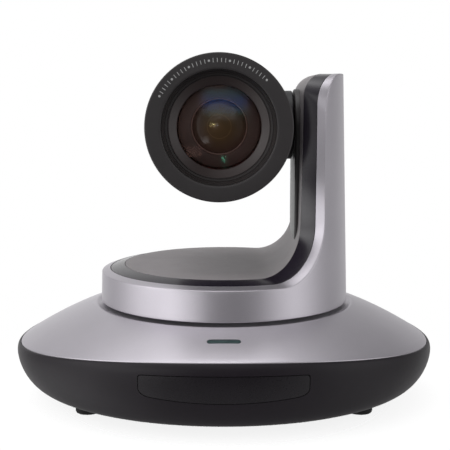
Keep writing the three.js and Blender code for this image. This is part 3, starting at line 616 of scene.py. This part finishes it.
def shell_blank():
    """The lower shell before its cuts: bowl, rounded shoulder, lip, ledge and inside."""
    shoulder = []
    for s in range(1, SHOULDER_STEPS + 1):
        turn = math.pi / 2 * s / SHOULDER_STEPS
        out = LIP_OUT + (NOSE_OUT - LIP_OUT) * math.cos(turn)
        drop = NOSE_DROP - (NOSE_DROP - LIP_DROP) * math.sin(turn)
        shoulder.append(beside_edge(out, drop))
    ledge = LEDGE_DROP + GAP
    lip = [beside_edge(GAP, LIP_DROP), beside_edge(GAP, ledge), beside_edge(-LEDGE_WIDTH, ledge)]
    shares = [k / INSIDE_STEPS for k in range(INSIDE_STEPS + 1)]
    inside = [bowl_loop(share, WALL + (1 - share) * EDGE_WALL) for share in shares]
    return skin(outside_bowl() + shoulder + lip + inside)


def window_outline(grow):
    """The infrared window, bowed along both long edges, with wide lower corners."""
    side, bottom, top = 41.8 + grow, 21.5 - grow, 35.6 + grow
    low_x, low_z = side - 5.5, bottom + 2.3
    high_x, high_z = side - 1.8, top - 0.7
    side_low, side_high = 28.5, high_z - 1.8
    out = quad_curve((-low_x, low_z), (0, 2 * bottom - low_z), (low_x, low_z), 40)
    out += quad_curve((low_x, low_z), (side, low_z + 1), (side, side_low))
    out += quad_curve((side, side_high), (side, high_z), (high_x, high_z), 8)
    out += quad_curve((high_x, high_z), (0, 2 * top - high_z), (-high_x, high_z), 40)
    out += quad_curve((-high_x, high_z), (-side, high_z), (-side, side_high), 8)
    out += quad_curve((-side, side_low), (-side, low_z + 1), (-low_x, low_z))
    return out


def window_tool(grow):
    behind = -55.0
    return prism(window_outline(grow), "y", -PAST, behind)


BAY = dict(width=106.0, bottom=11.5, top=34.0, wall=1.5, floor=72.0)
FEET = [(x, y) for y in (-43.0, 43.0) for x in (-73.3, 73.3)]
SCREWS = [(x, y) for y in (-31.1, 31.1) for x in (-31.1, 31.1)]


def bay_outline(grow, radius):
    height = BAY["top"] - BAY["bottom"]
    return round_rect(0, BAY["bottom"] + height / 2, BAY["width"] + 2 * grow, height + 2 * grow, radius)


def make_lower_shell():
    foot_hole, screw_hole, insert_hole, above_floor = 2.7, 3.6, 5.9, 12.0
    cuts = [window_tool(0.32), prism(bay_outline(GAP, 1.2), "y", BAY["floor"] - 6, PAST)]
    cuts += [rod("z", foot_hole, 0, above_floor, (x, y, 0), 32) for x, y in FEET]
    cuts += [rod("z", screw_hole, 0, above_floor, (x, y, 0), 32) for x, y in SCREWS]
    cuts.append(rod("z", insert_hole, 0, above_floor, (0, 0, 0), 48))
    place("lower_shell", combine(shell_blank(), cuts), SHELL, "base", ("base_lower_shell",))
    front = combine(shell_blank(), within=[window_tool(0.0)])
    place("infrared_window", front, WINDOW, "base", ("ir_window",))


def dome_row(share, drop=0.0):
    return plan_loop(
        DOME_R + (COVER_A - DOME_R) * share,
        DOME_R + (COVER_B - DOME_R) * share,
        lambda angle, radius: dome_z(radius) - drop,
    )


def light_slot(grow, lift, depth):
    """The status light's bar or its slot, square to the dome."""
    radius, width, height = 84.3, 16.4 + 2 * grow, 2.75 + 2 * grow
    outline = round_rect(0, 0, width, height, height / 2 - 0.02, 12)
    verts, faces = prism(outline, "z", lift - depth, lift)
    slope = DOME_SLOPE + 2 * DOME_CURVE * (radius - DOME_R)
    turn = Matrix.Translation((0, -radius, dome_z(radius))) @ Matrix.Rotation(math.atan(slope), 4, "X")
    return [turn @ Vector(v) for v in verts], faces


def make_top_cover():
    """The dome, with the sunk ring that the turntable stands over and a hole for the wires."""
    edge = 1.8
    rows = rounded_rows([beside_edge(0, LEDGE_DROP), beside_edge(0, 0), dome_row(0.9)], [0, 0.45, 0], 5)
    rows += [dome_row(s / DOME_STEPS) for s in range(DOME_STEPS - 3, 1, -1)]
    neck = [dome_row(1 / DOME_STEPS), plan_loop(DOME_R, DOME_R, DOME_Z), plan_loop(NECK_R, NECK_R, WELL_Z)]
    neck.append(plan_loop(WELL_R, WELL_R, WELL_Z))
    rows += rounded_rows(neck, [0, 1.6, 1.0, 0], 5)
    rows += [
        plan_loop(WELL_HOLE, WELL_HOLE, WELL_Z),
        plan_loop(WELL_HOLE, WELL_HOLE, WELL_Z - COVER_WALL),
        plan_loop(DOME_R, DOME_R, WELL_Z - COVER_WALL),
        dome_row(0.5, COVER_WALL * 1.2),
        beside_edge(-edge, COVER_WALL * 1.3),
        beside_edge(-edge, LEDGE_DROP),
    ]
    cover = combine(skin(rows, ring=True), [light_slot(GAP, 2.0, 8.0)])
    place("top_cover", cover, SILVER, "base", ("base_top_cover",))


def make_light_bar():
    n = Nodes("smoked_light_pipe")
    streak = n.noise(260.0, detail=3.0, roughness=0.6, stretch=(1.0, 6.0, 6.0))
    n.feed(Base_Color=two_tone(n, streak, (0.03, 0.05, 0.052), (0.055, 0.085, 0.085)))
    n.feed(Roughness=n.spread(streak, 0.14, 0.26), Normal=n.bump(streak, 0.05))
    piece("light_bar", light_slot(0.0, -0.25, 5.5), n.material, "base", ("status_light_bar",))


def make_feet():
    profile = filleted([(0.0, 0.0, 0), (4.4, 0.0, 0.2), (4.6, 0.35, 0.2), (5.6, 0.35, 0.2), (5.8, 0.0, 0.2),
                        (6.2, 0.0, 0.5), (6.8, 0.9, 0.5), (6.8, 5.4, 0.4), (2.4, 5.4, 0), (2.4, 9.5, 0.3),
                        (0.0, 9.5, 0)], 3)
    names = ("foot_front_left", "foot_front_right", "foot_rear_left", "foot_rear_right")
    for name, (x, y) in zip(names, FEET):
        piece(name + "_pad", solid(profile, "z", (x, y, 0), 64), RUBBER, "base", (name,))


def make_underside():
    """Base screws with cross recesses, and the threaded tripod insert."""
    screw = filleted([(0.0, 6.0, 0), (3.1, 6.0, 0.4), (3.1, 8.1, 0.1), (1.5, 8.1, 0), (1.5, 16.0, 0.2),
                      (0.0, 16.0, 0)], 3)
    long, short, recess_top = 1.9, 0.4, 7.2
    for k, (x, y) in enumerate(SCREWS):
        cross = [box(x - a, x + a, y - b, y + b, 5.0, recess_top) for a, b in ((long, short), (short, long))]
        name = f"base_screw_{k + 1}"
        head = combine(solid(screw, "z", (x, y, 0), 40), cross)
        place(name + "_head", head, STEEL, "base", (name,))
    bore, body, flange, thickness, pitch = 3.05, 5.6, 9.0, 2.0, 1.27
    low, seat, high = 6.0, 10.9, 15.6
    top = seat + thickness
    profile = [(body, low), (body, seat), (flange, seat), (flange, top), (body, top), (body, high)]
    for k in range(int((high - low) / pitch), 0, -1):
        z = low + (k - 0.5) * pitch
        profile += [(bore + 0.5, z + pitch / 2), (bore, z)]
    profile.append((bore + 0.6, low))
    insert = lathe(profile, "z", (0, 0, 0), 64)
    piece("tripod_thread", insert, BRASS, "base", ("tripod_insert",), crease=20)


# ---- rear sockets

SOCKETS = [
    dict(name="power_socket", x=-44.5, w=9.4, h=11.0, hole=3.1),
    dict(name="network_socket", x=-29.8, w=16.0, h=13.4, slot=(11.8, 8.4)),
    dict(name="video_socket", x=-12.5, w=15.0, h=6.4, slot=(13.6, 4.8)),
    dict(name="usb_socket", x=3.4, w=13.2, h=7.4, slot=(11.8, 5.8)),
    dict(name="control_in_socket", x=18.8, w=14.0, h=13.2, hole=4.9),
    dict(name="control_out_socket", x=34.4, w=14.0, h=13.2, hole=4.9),
    dict(name="audio_socket", x=46.4, w=7.0, h=7.6, hole=1.8),
]
SOCKET_FRONT = BAY["floor"] + BAY["wall"] + 0.4
SOCKET_LOW, SOCKET_REAR, SOCKET_DEPTH = 15.9, 60.0, 9.0
SOCKET_BACK = SOCKET_FRONT - SOCKET_DEPTH - 0.2


def socket_tools(s, middle):
    """What is cut from a socket's block."""
    x, inside = s["x"], SOCKET_FRONT - SOCKET_DEPTH
    if "hole" in s:
        return [rod("y", s["hole"], inside, PAST, (x, 0, middle))]
    w, h = (size / 2 for size in s["slot"])
    left, right, low, high = x - w, x + w, middle - h, middle + h
    if s["name"] == "video_socket":
        cut = 2.0
        outline = [(left, low + cut), (left + cut, low), (right - cut, low), (right, low + cut),
                   (right, high), (left, high)]
        return [prism(outline, "y", inside, PAST)]
    if s["name"] == "network_socket":
        latch, above = 3.1, 1.8
        return [box(left, right, inside, PAST, low, high - above),
                box(x - latch, x + latch, inside + 2, PAST, middle, high)]
    return [prism(round_rect(x, middle, 2 * w, 2 * h, 0.5, 4), "y", inside, PAST)]


def contact_row(x, pitch, width, count, end, low, high):
    """Equal flat contacts side by side, from `x`, that reach to `end`."""
    starts = [x + pitch * k for k in range(count)]
    return [box(start, start + width, SOCKET_BACK, end, low, high) for start in starts]


def tongue(x, half, end, low, high):
    return [box(x - half, x + half, SOCKET_BACK, end, low, high)]


def pin(x, middle, radius, end, soft, steps, segments):
    """A round pin, from the socket's back to `end`, with a soft rim."""
    profile = [(0, SOCKET_BACK, 0), (radius, SOCKET_BACK, 0), (radius, end, soft), (0, end, 0)]
    return solid(filleted(profile, steps), "y", (x, 0, middle), segments)


def socket_inside(s, middle):
    """Contacts and tongues that show in each socket's mouth."""
    x, front = s["x"], SOCKET_FRONT
    if s["name"] == "network_socket":
        return contact_row(x - 4.1, 1.1, 0.4, 8, front - 2.5, middle - 3.9, middle - 2.4), []
    if s["name"] == "video_socket":
        contacts = contact_row(x - 5.3, 1.15, 0.45, 10, front - 1.6, middle - 0.05, middle + 0.1)
        return contacts, tongue(x, 5.6, front - 1.2, middle + 0.1, middle + 1.1)
    if s["name"] == "usb_socket":
        contacts = contact_row(x - 3.9, 2.2, 1.0, 4, front - 1.2, middle + 0.16, middle + 0.3)
        return contacts, tongue(x, 5.1, front - 0.8, middle + 0.3, middle + 2.1)
    if s["name"] == "power_socket":
        return [pin(x, middle, 1.0, front - 1.0, 0.5, 4, 32)], []
    if s["name"] == "audio_socket":
        hole, rim, depth, proud = 1.8, 2.9, 2.2, 0.25
        profile = [(hole, front - depth), (rim, front - depth), (rim, front + proud), (hole, front + proud)]
        return [lathe(profile, "y", (x, 0, middle), 40)], []
    count, circle, radius, contacts = 8, 3.4, 0.38, []
    for k in range(count):
        a = TAU * (k + 0.5) / count
        at = (x + circle * math.cos(a), 0, middle + circle * math.sin(a))
        contacts.append(rod("y", radius, SOCKET_BACK, front - 3.0, at, 12))
    return contacts, [pin(x, middle, 2.3, front - 1.2, 0.3, 3, 40)]


def make_sockets():
    for s in SOCKETS:
        name, middle = s["name"], SOCKET_LOW + s["h"] / 2
        block = prism(round_rect(s["x"], middle, s["w"], s["h"], 0.6, 4), "y", SOCKET_REAR, SOCKET_FRONT)
        look, slot = (SOCKET_METAL, "socket_metal") if "slot" in s else (INNER_BLACK, "dark_plastic")
        place(name + "_shell", combine(block, socket_tools(s, middle)), look, "base", (name,))
        contacts, tongues = socket_inside(s, middle)
        if contacts:
            piece(name + "_contacts", joined(contacts), BRASS, "base", ())
        if tongues:
            piece(name + "_tongue", joined(tongues), INNER_BLACK, "base", ())


def make_bay():
    """A box let into the base's back, trimmed to the base's outside, with a hole for each socket."""
    floor, wall = BAY["floor"], BAY["wall"]
    outside = prism(bay_outline(0.0, 1.1), "y", floor, PAST - 10)
    cuts = [prism(bay_outline(-wall, 0.9), "y", floor + wall, PAST)]
    for s in SOCKETS:
        hole = round_rect(s["x"], SOCKET_LOW + s["h"] / 2, s["w"] + 2 * GAP, s["h"] + 2 * GAP, 0.7, 4)
        cuts.append(prism(hole, "y", floor - 3, floor + wall + 1))
    bowl = skin(outside_bowl() + [beside_edge(LIP_OUT, LIP_DROP)])
    bay = combine(outside, cuts, within=[bowl])
    place("socket_bay", bay, BAY_GREY, "base", ("rear_connector_bay",))


# ---- turntable and arm


def edge_path(edge, sink=0.0, pull=0.0):
    """An edge from the left end of the floor to the outer end of the arm's top."""
    floor, top = edge["floor"] - sink, ARM_TOP - sink
    foot_x, foot_z = edge["fx"] + sink, edge["fz"] + sink
    head_x, head_z = edge["hx"] - sink, edge["hz"] - sink
    start = edge["face"] - edge["fx"]

    def lean(z):
        return edge["lean"] * max(z - LEAN_FROM, 0)

    def radius(z):
        return edge["r"] - pull - edge["draft"] * (z - edge["floor"])

    def waist(z):
        """How far the arm is drawn in from the front and back at a height."""
        for (low_z, low_in), (high_z, high_in) in zip(edge["waist"], edge["waist"][1:]):
            if low_z <= z <= high_z:
                ease = 0.5 - 0.5 * math.cos(math.pi * (z - low_z) / (high_z - low_z))
                return low_in + (high_in - low_in) * ease
        return 0.0

    def shares(stretch):
        """From just after 0 to 1, in as many steps as a stretch has stations."""
        return [(i + 1) / STATIONS[stretch] for i in range(STATIONS[stretch])]

    r = radius(floor)
    sweep = math.pi - math.acos(start / r)
    line = [(-r * math.cos(share * sweep), floor) for share in [0.0] + shares("floor")[:-1]]
    for share in [0.0] + shares("foot"):
        turn = share * math.pi / 2
        z = floor + foot_z * (1 - math.cos(turn))
        line.append((start + foot_x * math.sin(turn) + lean(z), z))
    low, high = floor + foot_z, top - head_z
    for share in shares("arm"):
        z = low + (high - low) * share
        line.append((edge["face"] + sink + lean(z), z))
    at = edge["face"] + sink + lean(high)
    for share in shares("head"):
        turn = share * math.pi / 2
        line.append((at + head_x * (1 - math.cos(turn)), high + head_z * math.sin(turn)))
    r = radius(top)
    sweep = math.acos((at + head_x) / r)
    line += [(r * math.cos(sweep * (1 - share)), top) for share in shares("top")]
    depths = [math.sqrt(max(radius(z) ** 2 - x * x, 0)) for x, z in line]
    return [Vector((x, -max(depth - waist(z), 0), z)) for (x, z), depth in zip(line, depths)]


def edge_loop(edge, sink=0.0, pull=0.0):
    front = edge_path(edge, sink, pull)
    back = [Vector((p.x, -p.y, p.z)) for p in front[1:-1]][::-1]
    return front + back


def wall_foot(loop, radius):
    angles = [math.atan2(p.y, p.x) for p in loop]
    return [Vector((radius * math.cos(a), radius * math.sin(a), TURN_BOTTOM_Z)) for a in angles]


def make_turntable_shell():
    """The round wall and the arm in one moulding, whose bright rim is the chamfer between OUTER and RIM."""
    outer, inside = edge_loop(OUTER), edge_loop(OUTER, TURN_WALL, TURN_WALL)
    foot, inner_foot = wall_foot(outer, TURN_BOTTOM_R), wall_foot(inside, TURN_BOTTOM_R - TURN_WALL)
    rows = [inner_foot, foot, outer, edge_loop(RIM), edge_loop(RIM, SKIN), inside]
    steps = 5
    rows = rounded_rows(rows, [0, 0.5, 0.55, 0.3, 0, 0], steps)
    wall = 2 + steps
    rows[wall:wall] = between(rows[wall - 1], rows[wall], 10)
    shell = skin(rows, ring=True)
    piece("turntable_and_arm", shell, SILVER, "turntable", ("turntable_shell",), ARM_CREASE)


def make_trim_band():
    """The polished band between the shell's rim and the panel, sunk a little below both."""
    outside = [edge_loop(RIM, SKIN, GAP), edge_loop(RIM, 0.12, GAP)]
    rows = outside + [edge_loop(PANEL, 0.05), edge_loop(PANEL, SKIN)]
    band = skin(rounded_rows(rows, [0, 0.35, 0.35, 0], 5), ring=True)
    piece("gloss_trim", band, TRIM, "turntable", ("trim_band",), ARM_CREASE)


def make_inner_panel():
    """One bent sheet, flat from front to back, over the floor and up the arm, with a soft edge."""
    soft, least, spans = 0.35, 1.2, 4
    sections = []
    for p, q in zip(edge_path(PANEL, 0.0, GAP), edge_path(PANEL, SKIN, GAP)):
        half, low_half = max(-p.y, least), max(-q.y, least)
        drop = (q - p).normalized() * soft
        section = [Vector((q.x, low_half, q.z))]
        section.append(Vector((p.x, half, p.z)) + drop)
        section.append(Vector((p.x, half - soft, p.z)) + drop * 0.12)
        for k in range(-spans, spans + 1):
            section.append(Vector((p.x, (soft * 2 - half) * k / spans, p.z)))
        section.append(Vector((p.x, soft - half, p.z)) + drop * 0.12)
        section.append(Vector((p.x, -half, p.z)) + drop)
        section.append(Vector((q.x, -low_half, q.z)))
        sections.append(section)
    panel = combine(skin(sections), [shaft_hole()])
    place("arm_panel", panel, PANEL_GREY, "turntable", ("inner_panel",), ARM_CREASE)


def shaft_hole():
    """The tilt shaft's way through the boss and the panel."""
    return rod("x", SHAFT_HOLE, 30, 60, (0, 0, TILT_Z))


def arch(radius, low):
    steps = 64
    angles = [math.pi * s / steps for s in range(steps + 1)]
    top = [(radius * math.cos(a), TILT_Z + radius * math.sin(a)) for a in angles]
    return [(-radius, low), (radius, low)] + top


def make_boss():
    """The arch round the tilt axis, with a rounded edge, run down into the panel's bend."""
    soft, steps = 1.1, 6
    rows = []
    for s in range(steps + 1):
        turn = math.pi / 2 * s / steps
        inset = soft * (1 - math.sin(turn))
        depth = soft * (1 - math.cos(turn))
        rows.append([(BOSS_FACE + depth, y, z) for y, z in arch(BOSS_R - inset, BOSS_LOW + inset)])
    rows.append([(PANEL["face"] + 1.2, y, z) for y, z in arch(BOSS_R, BOSS_LOW)])
    line = [(p.x, p.z) for p in edge_path(PANEL, -0.1)]
    left, right, below, half = -60, 90, 40, 40
    behind = prism(line + [(right, ARM_TOP), (right, below), (left, below)], "y", -half, half)
    boss = combine(skin(rows), [behind, shaft_hole()])
    place("tilt_boss", boss, RING_SATIN, "turntable", ("tilt_boss_cover",), ARM_CREASE)


# ---- head


def cell(points, segments):
    """A ring round the head's axis, from a profile of (radius, y, corner radius)."""
    return lathe(filleted(points, 4), "y", HEAD, segments)


def make_barrel():
    front, rear, soft, inside = -45.7, 40.0, 0.35, HEAD_R - 2.4
    points = [(inside, front, 0), (HEAD_R, front, soft), (HEAD_R, rear, soft), (inside, rear, 0)]
    hole = rod("x", DISC_HOLE, 20, 45, (0, 0, TILT_Z))
    tube = combine(cell(points, 160), [hole])
    place("head_tube", tube, SATIN, "head", ("head_barrel",))


def make_rear_cap():
    """The domed cap, plugged into the tube, with louvres across its middle."""
    y, r, plug = 40.3, HEAD_R, PLUG_R
    outside = [(0, y + 11.7), (8, y + 11.6), (16, y + 11.3), (22, y + 10.9), (27, y + 9.7), (30.5, y + 8.2),
               (33.2, y + 6.3), (35, y + 4.4), (36.1, y + 2.2), (r, y + 0.3), (r - 0.1, y)]
    lip = plug - 2.2
    inside = [(plug, y), (plug, y - 4), (lip, y - 4), (lip, y + 2), (20.5, y + 8.3), (0, y + 9.1)]
    longest, shorter, height, pitch, each_side = 31.0, 3.6, 1.6, 4.0, 3
    louvres = []
    for k in range(-each_side, each_side + 1):
        width = longest - shorter * abs(k)
        outline = round_rect(HEAD_X, TILT_Z + pitch * k, width, height, height / 2 - 0.02, 6)
        louvres.append(prism(outline, "y", y + 9.9, y + 20))
    cap = combine(solid(outside + inside, "y", HEAD, 160), louvres)
    place("rear_cap", cap, SATIN, "head", ("head_rear_cap",))


def make_front_ring():
    plug, back = PLUG_R, RING_BACK
    profile = filleted([
        (RING_HOLE, RING_FRONT + 0.2, 0.5), (RING_HOLE + 0.9, RING_FRONT, 0.4), (RING_R, RING_FRONT, 0.9),
        (RING_R, back, 0.3), (plug, back, 0), (plug, back + 4, 0), (plug - 2.3, back + 4, 0),
        (plug - 2.3, back - 3, 0), (RING_HOLE, back - 4.4, 0.2),
    ], 6)
    piece("lens_ring", lathe(profile, "y", HEAD, 192), RING_SATIN, "head", ("front_ring",))


def make_ring_marks():
    """A printed scale on the ring's face: short ticks with a dot at every fifth, and no lettering."""
    n = Nodes("printed_ink")
    grain = n.noise(3000.0, detail=3.0)
    n.feed(Base_Color=two_tone(n, grain, (0.3, 0.3, 0.3), (0.42, 0.42, 0.42)))
    n.feed(Roughness=n.spread(grain, 0.4, 0.55), Normal=n.bump(grain, 0.1, 0.00002))
    middle, along, aside, dot = 34.3, 1.05, 0.17, 0.6
    front, back = RING_FRONT - 0.02, RING_FRONT + 0.1
    first, swept, ticks = 152, 107, 30
    parts = []
    for k in range(ticks + 1):
        a = math.radians(first - swept * k / ticks)
        c, s = math.cos(a), math.sin(a)
        if k % 5 == 0:
            parts.append(rod("y", dot, front, back, (HEAD_X + middle * c, 0, TILT_Z + middle * s), 20))
            continue
        outline = []
        for dr, dt in ((-along, -aside), (along, -aside), (along, aside), (-along, aside)):
            radius = middle + dr
            outline.append((HEAD_X + radius * c - dt * s, TILT_Z + radius * s + dt * c))
        parts.append(prism(outline, "y", front, back))
    piece("ring_scale", joined(parts), n.material, "head", ())


def make_baffle():
    """The stepped, blackened cone between the ring and the front lens."""
    cone = cell([
        (29.4, -50.0, 0.1), (28.5, -48.6, 0.1), (28.2, -48.6, 0.05), (27.9, -47.2, 0.1), (26.9, -46.9, 0.1),
        (26.6, -46.0, 0.15), (BAFFLE_STEP, -46.0, 0.1), (22.3, -43.5, 0.12), (22.0, -43.2, 0.1),
        (22.0, -41.0, 0), (27.4, -41.0, 0), (30.9, -48.4, 0), (30.4, -50.0, 0),
    ], 160)
    piece("light_baffle", cone, BAFFLE_BLACK, "head", ("lens_baffle",), 25)


def lens(radius, front, edge_front, edge_back, back, segments):
    """A lens on the head's axis; `front` and `back` are where its faces cross the axis."""
    steps = 16
    shares = [k / steps for k in range(steps + 1)]
    profile = [(radius * t, front + (edge_front - front) * t * t) for t in shares]
    profile += [(radius * t, back + (edge_back - back) * t * t) for t in reversed(shares)]
    return solid(profile, "y", HEAD, segments)


def make_lenses():
    # Painted reflection hues by height: blue where the front lamp reflects above the middle, with green,
    # olive and red-brown around it.
    front = glass_painted_reflection_hue("front_glass_painted_hue", (0.97, 0.95, 0.95), (
        (-20, (0.5, 0.24, 0.22)), (-7, (0.45, 0.22, 0.18)), (-1, (0.5, 0.3, 0.12)), (3, (0.38, 0.38, 0.16)),
        (7, (0.16, 0.36, 0.3)), (13, (0.07, 0.22, 0.72)), (18, (0.16, 0.34, 0.4)), (22, (0.4, 0.28, 0.26)),
    ), aside=(0.3, 0.17, 0.14), patch=3.2, strength=0.75)
    glass = lens(GLASS_R, front=-46.3, edge_front=-42.9, edge_back=-38.5, back=-41.0, segments=128)
    piece("front_glass", glass, front, "head", ("front_lens",))

    inner = inner_coat("inner_glass_painted_ring", (0.13, 0.08, 0.035), (0.075, 0.045, 0.035), line=0.44, reach=FOCUS_R)
    glass = lens(FOCUS_R, front=-30.5, edge_front=-28.0, edge_back=-25.0, back=-24.0, segments=112)
    piece("focus_glass", glass, inner, "focus_group", ())
    rim = cell([(FOCUS_R, -30.6, 0.15), (14.9, -30.6, 0.1), (FOCUS_LIP, -30.0, 0.2), (22.0, -30.0, 0.4),
                (22.0, -23.0, 0.4), (FOCUS_R, -23.0, 0)], 128)
    piece("focus_cell", rim, CELL_BROWN, "focus_group", ("focus_lens_group",))

    glass = lens(ZOOM_R, front=-6.5, edge_front=-4.0, edge_back=2.0, back=3.0, segments=96)
    piece("zoom_glass", glass, inner, "zoom_group", ())
    inside = ZOOM_R - 0.1
    rim = cell([(inside, -6.0, 0.2), (20.0, -6.0, 0.4), (20.0, 4.0, 0.4), (inside, 4.0, 0)], 96)
    piece("zoom_cell", rim, CELL_BROWN, "zoom_group", ("zoom_lens_group",))


def make_head_disc():
    """The disc between the head and the arm, hollowed to sit on the tube."""
    radius, face, inside, bore = 19.1, 38.1, 16.0, DISC_HOLE
    profile = filleted([(bore, inside, 0), (radius, inside, 0), (radius, face, 0.8), (bore, face, 0)], 6)
    drum = rod("y", HEAD_R + 0.35, -70, 70, HEAD, 160)
    disc = combine(lathe(profile, "x", (0, 0, TILT_Z), 128), [drum])
    place("tilt_disc", disc, SATIN, "head", ("head_disc",))


# ---- carried-over nodes


def recolour():
    """Detailed materials for the CAD nodes that stay as they are."""
    looks = (
        (BOARD, ("ir_receiver_board", "main_board", "sensor_board")),
        (STEEL, ("base_plate", "pan_bearing", "pan_motor", "tilt_motor", "tilt_bearing", "tilt_shaft")),
        (CAST, ("pan_chassis", "turntable_plate", "pan_hub", "yoke_frame", "lens_bracket")),
        (BRASS, ("pan_pinion", "tilt_pinion")),
        (ACETAL, ("pan_gear", "tilt_gear")),
        (GLOSS, ("ir_receiver",)),
        (RUBBER, ("arm_wire_harness",)),
        (BARREL_BROWN, ("lens_barrel",)),
    )
    for look, names in looks:
        for name in names:
            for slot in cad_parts[name].material_slots:
                slot.material = look


# ---- studio


def softbox(name, at, target, size, power, colour=(1, 1, 1)):
    """A rectangular lamp in metres and watts, which the camera doesn't see."""
    lamp = bpy.data.lights.new(name, "AREA")
    lamp.shape = "RECTANGLE"
    lamp.size, lamp.size_y = size
    lamp.energy = power
    lamp.color = colour
    obj = bpy.data.objects.new(name, lamp)
    bpy.context.scene.collection.objects.link(obj)
    obj.location = at
    obj.rotation_euler = (Vector(target) - obj.location).to_track_quat("-Z", "Y").to_euler()
    obj.visible_camera = False


def light_only(lamp, name):
    """Keep a lamp to one piece, past whatever stands between them."""
    lit = bpy.data.collections.new(f"{name}_light")
    lit.objects.link(bpy.data.objects[name])
    linking = bpy.data.objects[lamp].light_linking
    linking.receiver_collection = lit
    linking.blocker_collection = lit


def make_studio():
    make_floor()
    make_world((
        (-48, -6, 16, 0.78), (-68, 20, 10, 2.3), (-88, 4, 7, 0.2), (-85, -35, 10, 1.5), (80, -38, 10, 0.5),
        (-45, 50, 10, 0.5), (-100, 76, 10, 1.85), (150, 76, 10, 0.35), (-160, 60, 20, 0.3), (0, 86, 30, 1.0),
        (-144, 22, 10, 0.26), (-150, -8, 10, 0.6), (180, 22, 10, 0.5), (150, -8, 10, 0.55),
        (-178, -8, 40, 0.9), (118, -8, 12, 0.22), (62, -8, 12, 1.03), (72, 22, 10, 1.3),
    ), 0.06)
    softbox("card", (-0.19, -0.29, 0.012), (0, 0, 0.06), size=(0.2, 0.06), power=0.06)
    softbox("front", (0.11, -1.2, 0.65), (0, 0, 0.15), size=(0.95, 0.65), power=1.5)
    softbox("lamp", (-0.07, -0.78, 0.155), (0, 0, 0.15), size=(0.03, 0.02), power=0.05)
    green = (0.1, 1.0, 0.7)
    softbox("ghost", (0.048, -0.69, -0.235), (0, 0, 0.135), size=(0.04, 0.055), power=0.085, colour=green)
    softbox("cover_fill", (0.03, 0.11, 0.6), (0, -0.09, 0.045), size=(0.2, 0.13), power=0.25)
    bpy.context.scene.view_settings.view_transform = "Standard"


def make_floor():
    """A pale disc under the object that fades out into the white studio."""
    n = Nodes("pale_floor")
    cloud = n.noise(3.0, detail=2.0)
    n.feed(Base_Color=two_tone(n, cloud, (0.9, 0.9, 0.9), (0.93, 0.93, 0.93)))
    n.set(Roughness=0.9, Specular_IOR_Level=0.1, Emission_Strength=0.5, Emission_Color=(1, 1, 1, 1))
    n.feed(Alpha=n.spread(n.radius(2), 0.3, 0.0, 85.0, 175.0))
    far = 200.0
    mesh = raw_mesh(([(-far, -far, 0), (far, -far, 0), (far, far, 0), (-far, far, 0)], [(0, 1, 2, 3)]))
    mesh.materials.append(n.material)
    floor = bpy.data.objects.new("floor", mesh)
    bpy.context.scene.collection.objects.link(floor)


def direction(azimuth, elevation):
    """A unit vector: azimuth 0 is the camera's side (-Y), 90 is the object's own left (+X)."""
    across, up = math.radians(azimuth), math.radians(elevation)
    return (math.sin(across) * math.cos(up), -math.cos(across) * math.cos(up), math.sin(up))


def make_world(glows, base):
    """Soft studio light all round: a dim room with broad glows, which is plain white where it is seen.

    glows: (azimuth, elevation, sharpness, strength).
    """
    world = bpy.data.worlds.new("studio")
    world.use_nodes = True
    g = Graph(world.node_tree)
    looking = g.add("ShaderNodeTexCoord").outputs["Generated"]
    total = base
    for azimuth, elevation, sharpness, strength in glows:
        towards = g.vector("DOT_PRODUCT", looking, direction(azimuth, elevation))
        falloff = g.math("MULTIPLY_ADD", towards.outputs["Value"], sharpness, -sharpness)
        glow = g.math("MULTIPLY", g.math("EXPONENT", falloff), strength)
        total = g.math("ADD", glow, total)
    white = (1, 1, 1, 1)
    lit = g.put(g.tree.nodes["Background"], Color=white)
    g.link(total, lit.inputs["Strength"])
    seen = g.put(g.add("ShaderNodeBackground"), Color=white)
    mix = g.add("ShaderNodeMixShader")
    g.link(g.add("ShaderNodeLightPath").outputs["Is Camera Ray"], mix.inputs["Fac"])
    surface = mixed(g, mix, lit.outputs["Background"], seen.outputs["Background"])
    g.link(surface, g.tree.nodes["World Output"].inputs["Surface"])
    bpy.context.scene.world = world


CAMERA_AT, CAMERA_DOWN = (0.0005663, -0.5663, 0.1699), 7.4285


def make_camera():
    """The photo's camera: a lens of 80 mm, turned down by CAMERA_DOWN degrees."""
    data = bpy.data.cameras.new("camera")
    data.lens, data.sensor_width = 80.0, 36.0
    data.clip_start, data.clip_end = 0.02, 50.0
    obj = bpy.data.objects.new("camera", data)
    obj.location = CAMERA_AT
    obj.rotation_euler = (math.pi / 2 - math.radians(CAMERA_DOWN), 0.0, 0.0)
    bpy.context.scene.collection.objects.link(obj)
    bpy.context.scene.camera = obj


make_camera()
make_studio()
recolour()
make_lower_shell()
make_top_cover()
make_light_bar()
make_feet()
make_underside()
make_sockets()
make_bay()
make_turntable_shell()
make_trim_band()
make_inner_panel()
make_boss()
make_barrel()
make_rear_cap()
make_front_ring()
make_ring_marks()
make_baffle()
make_lenses()
make_head_disc()
light_only("cover_fill", "top_cover")
light_only("ghost", "front_glass")
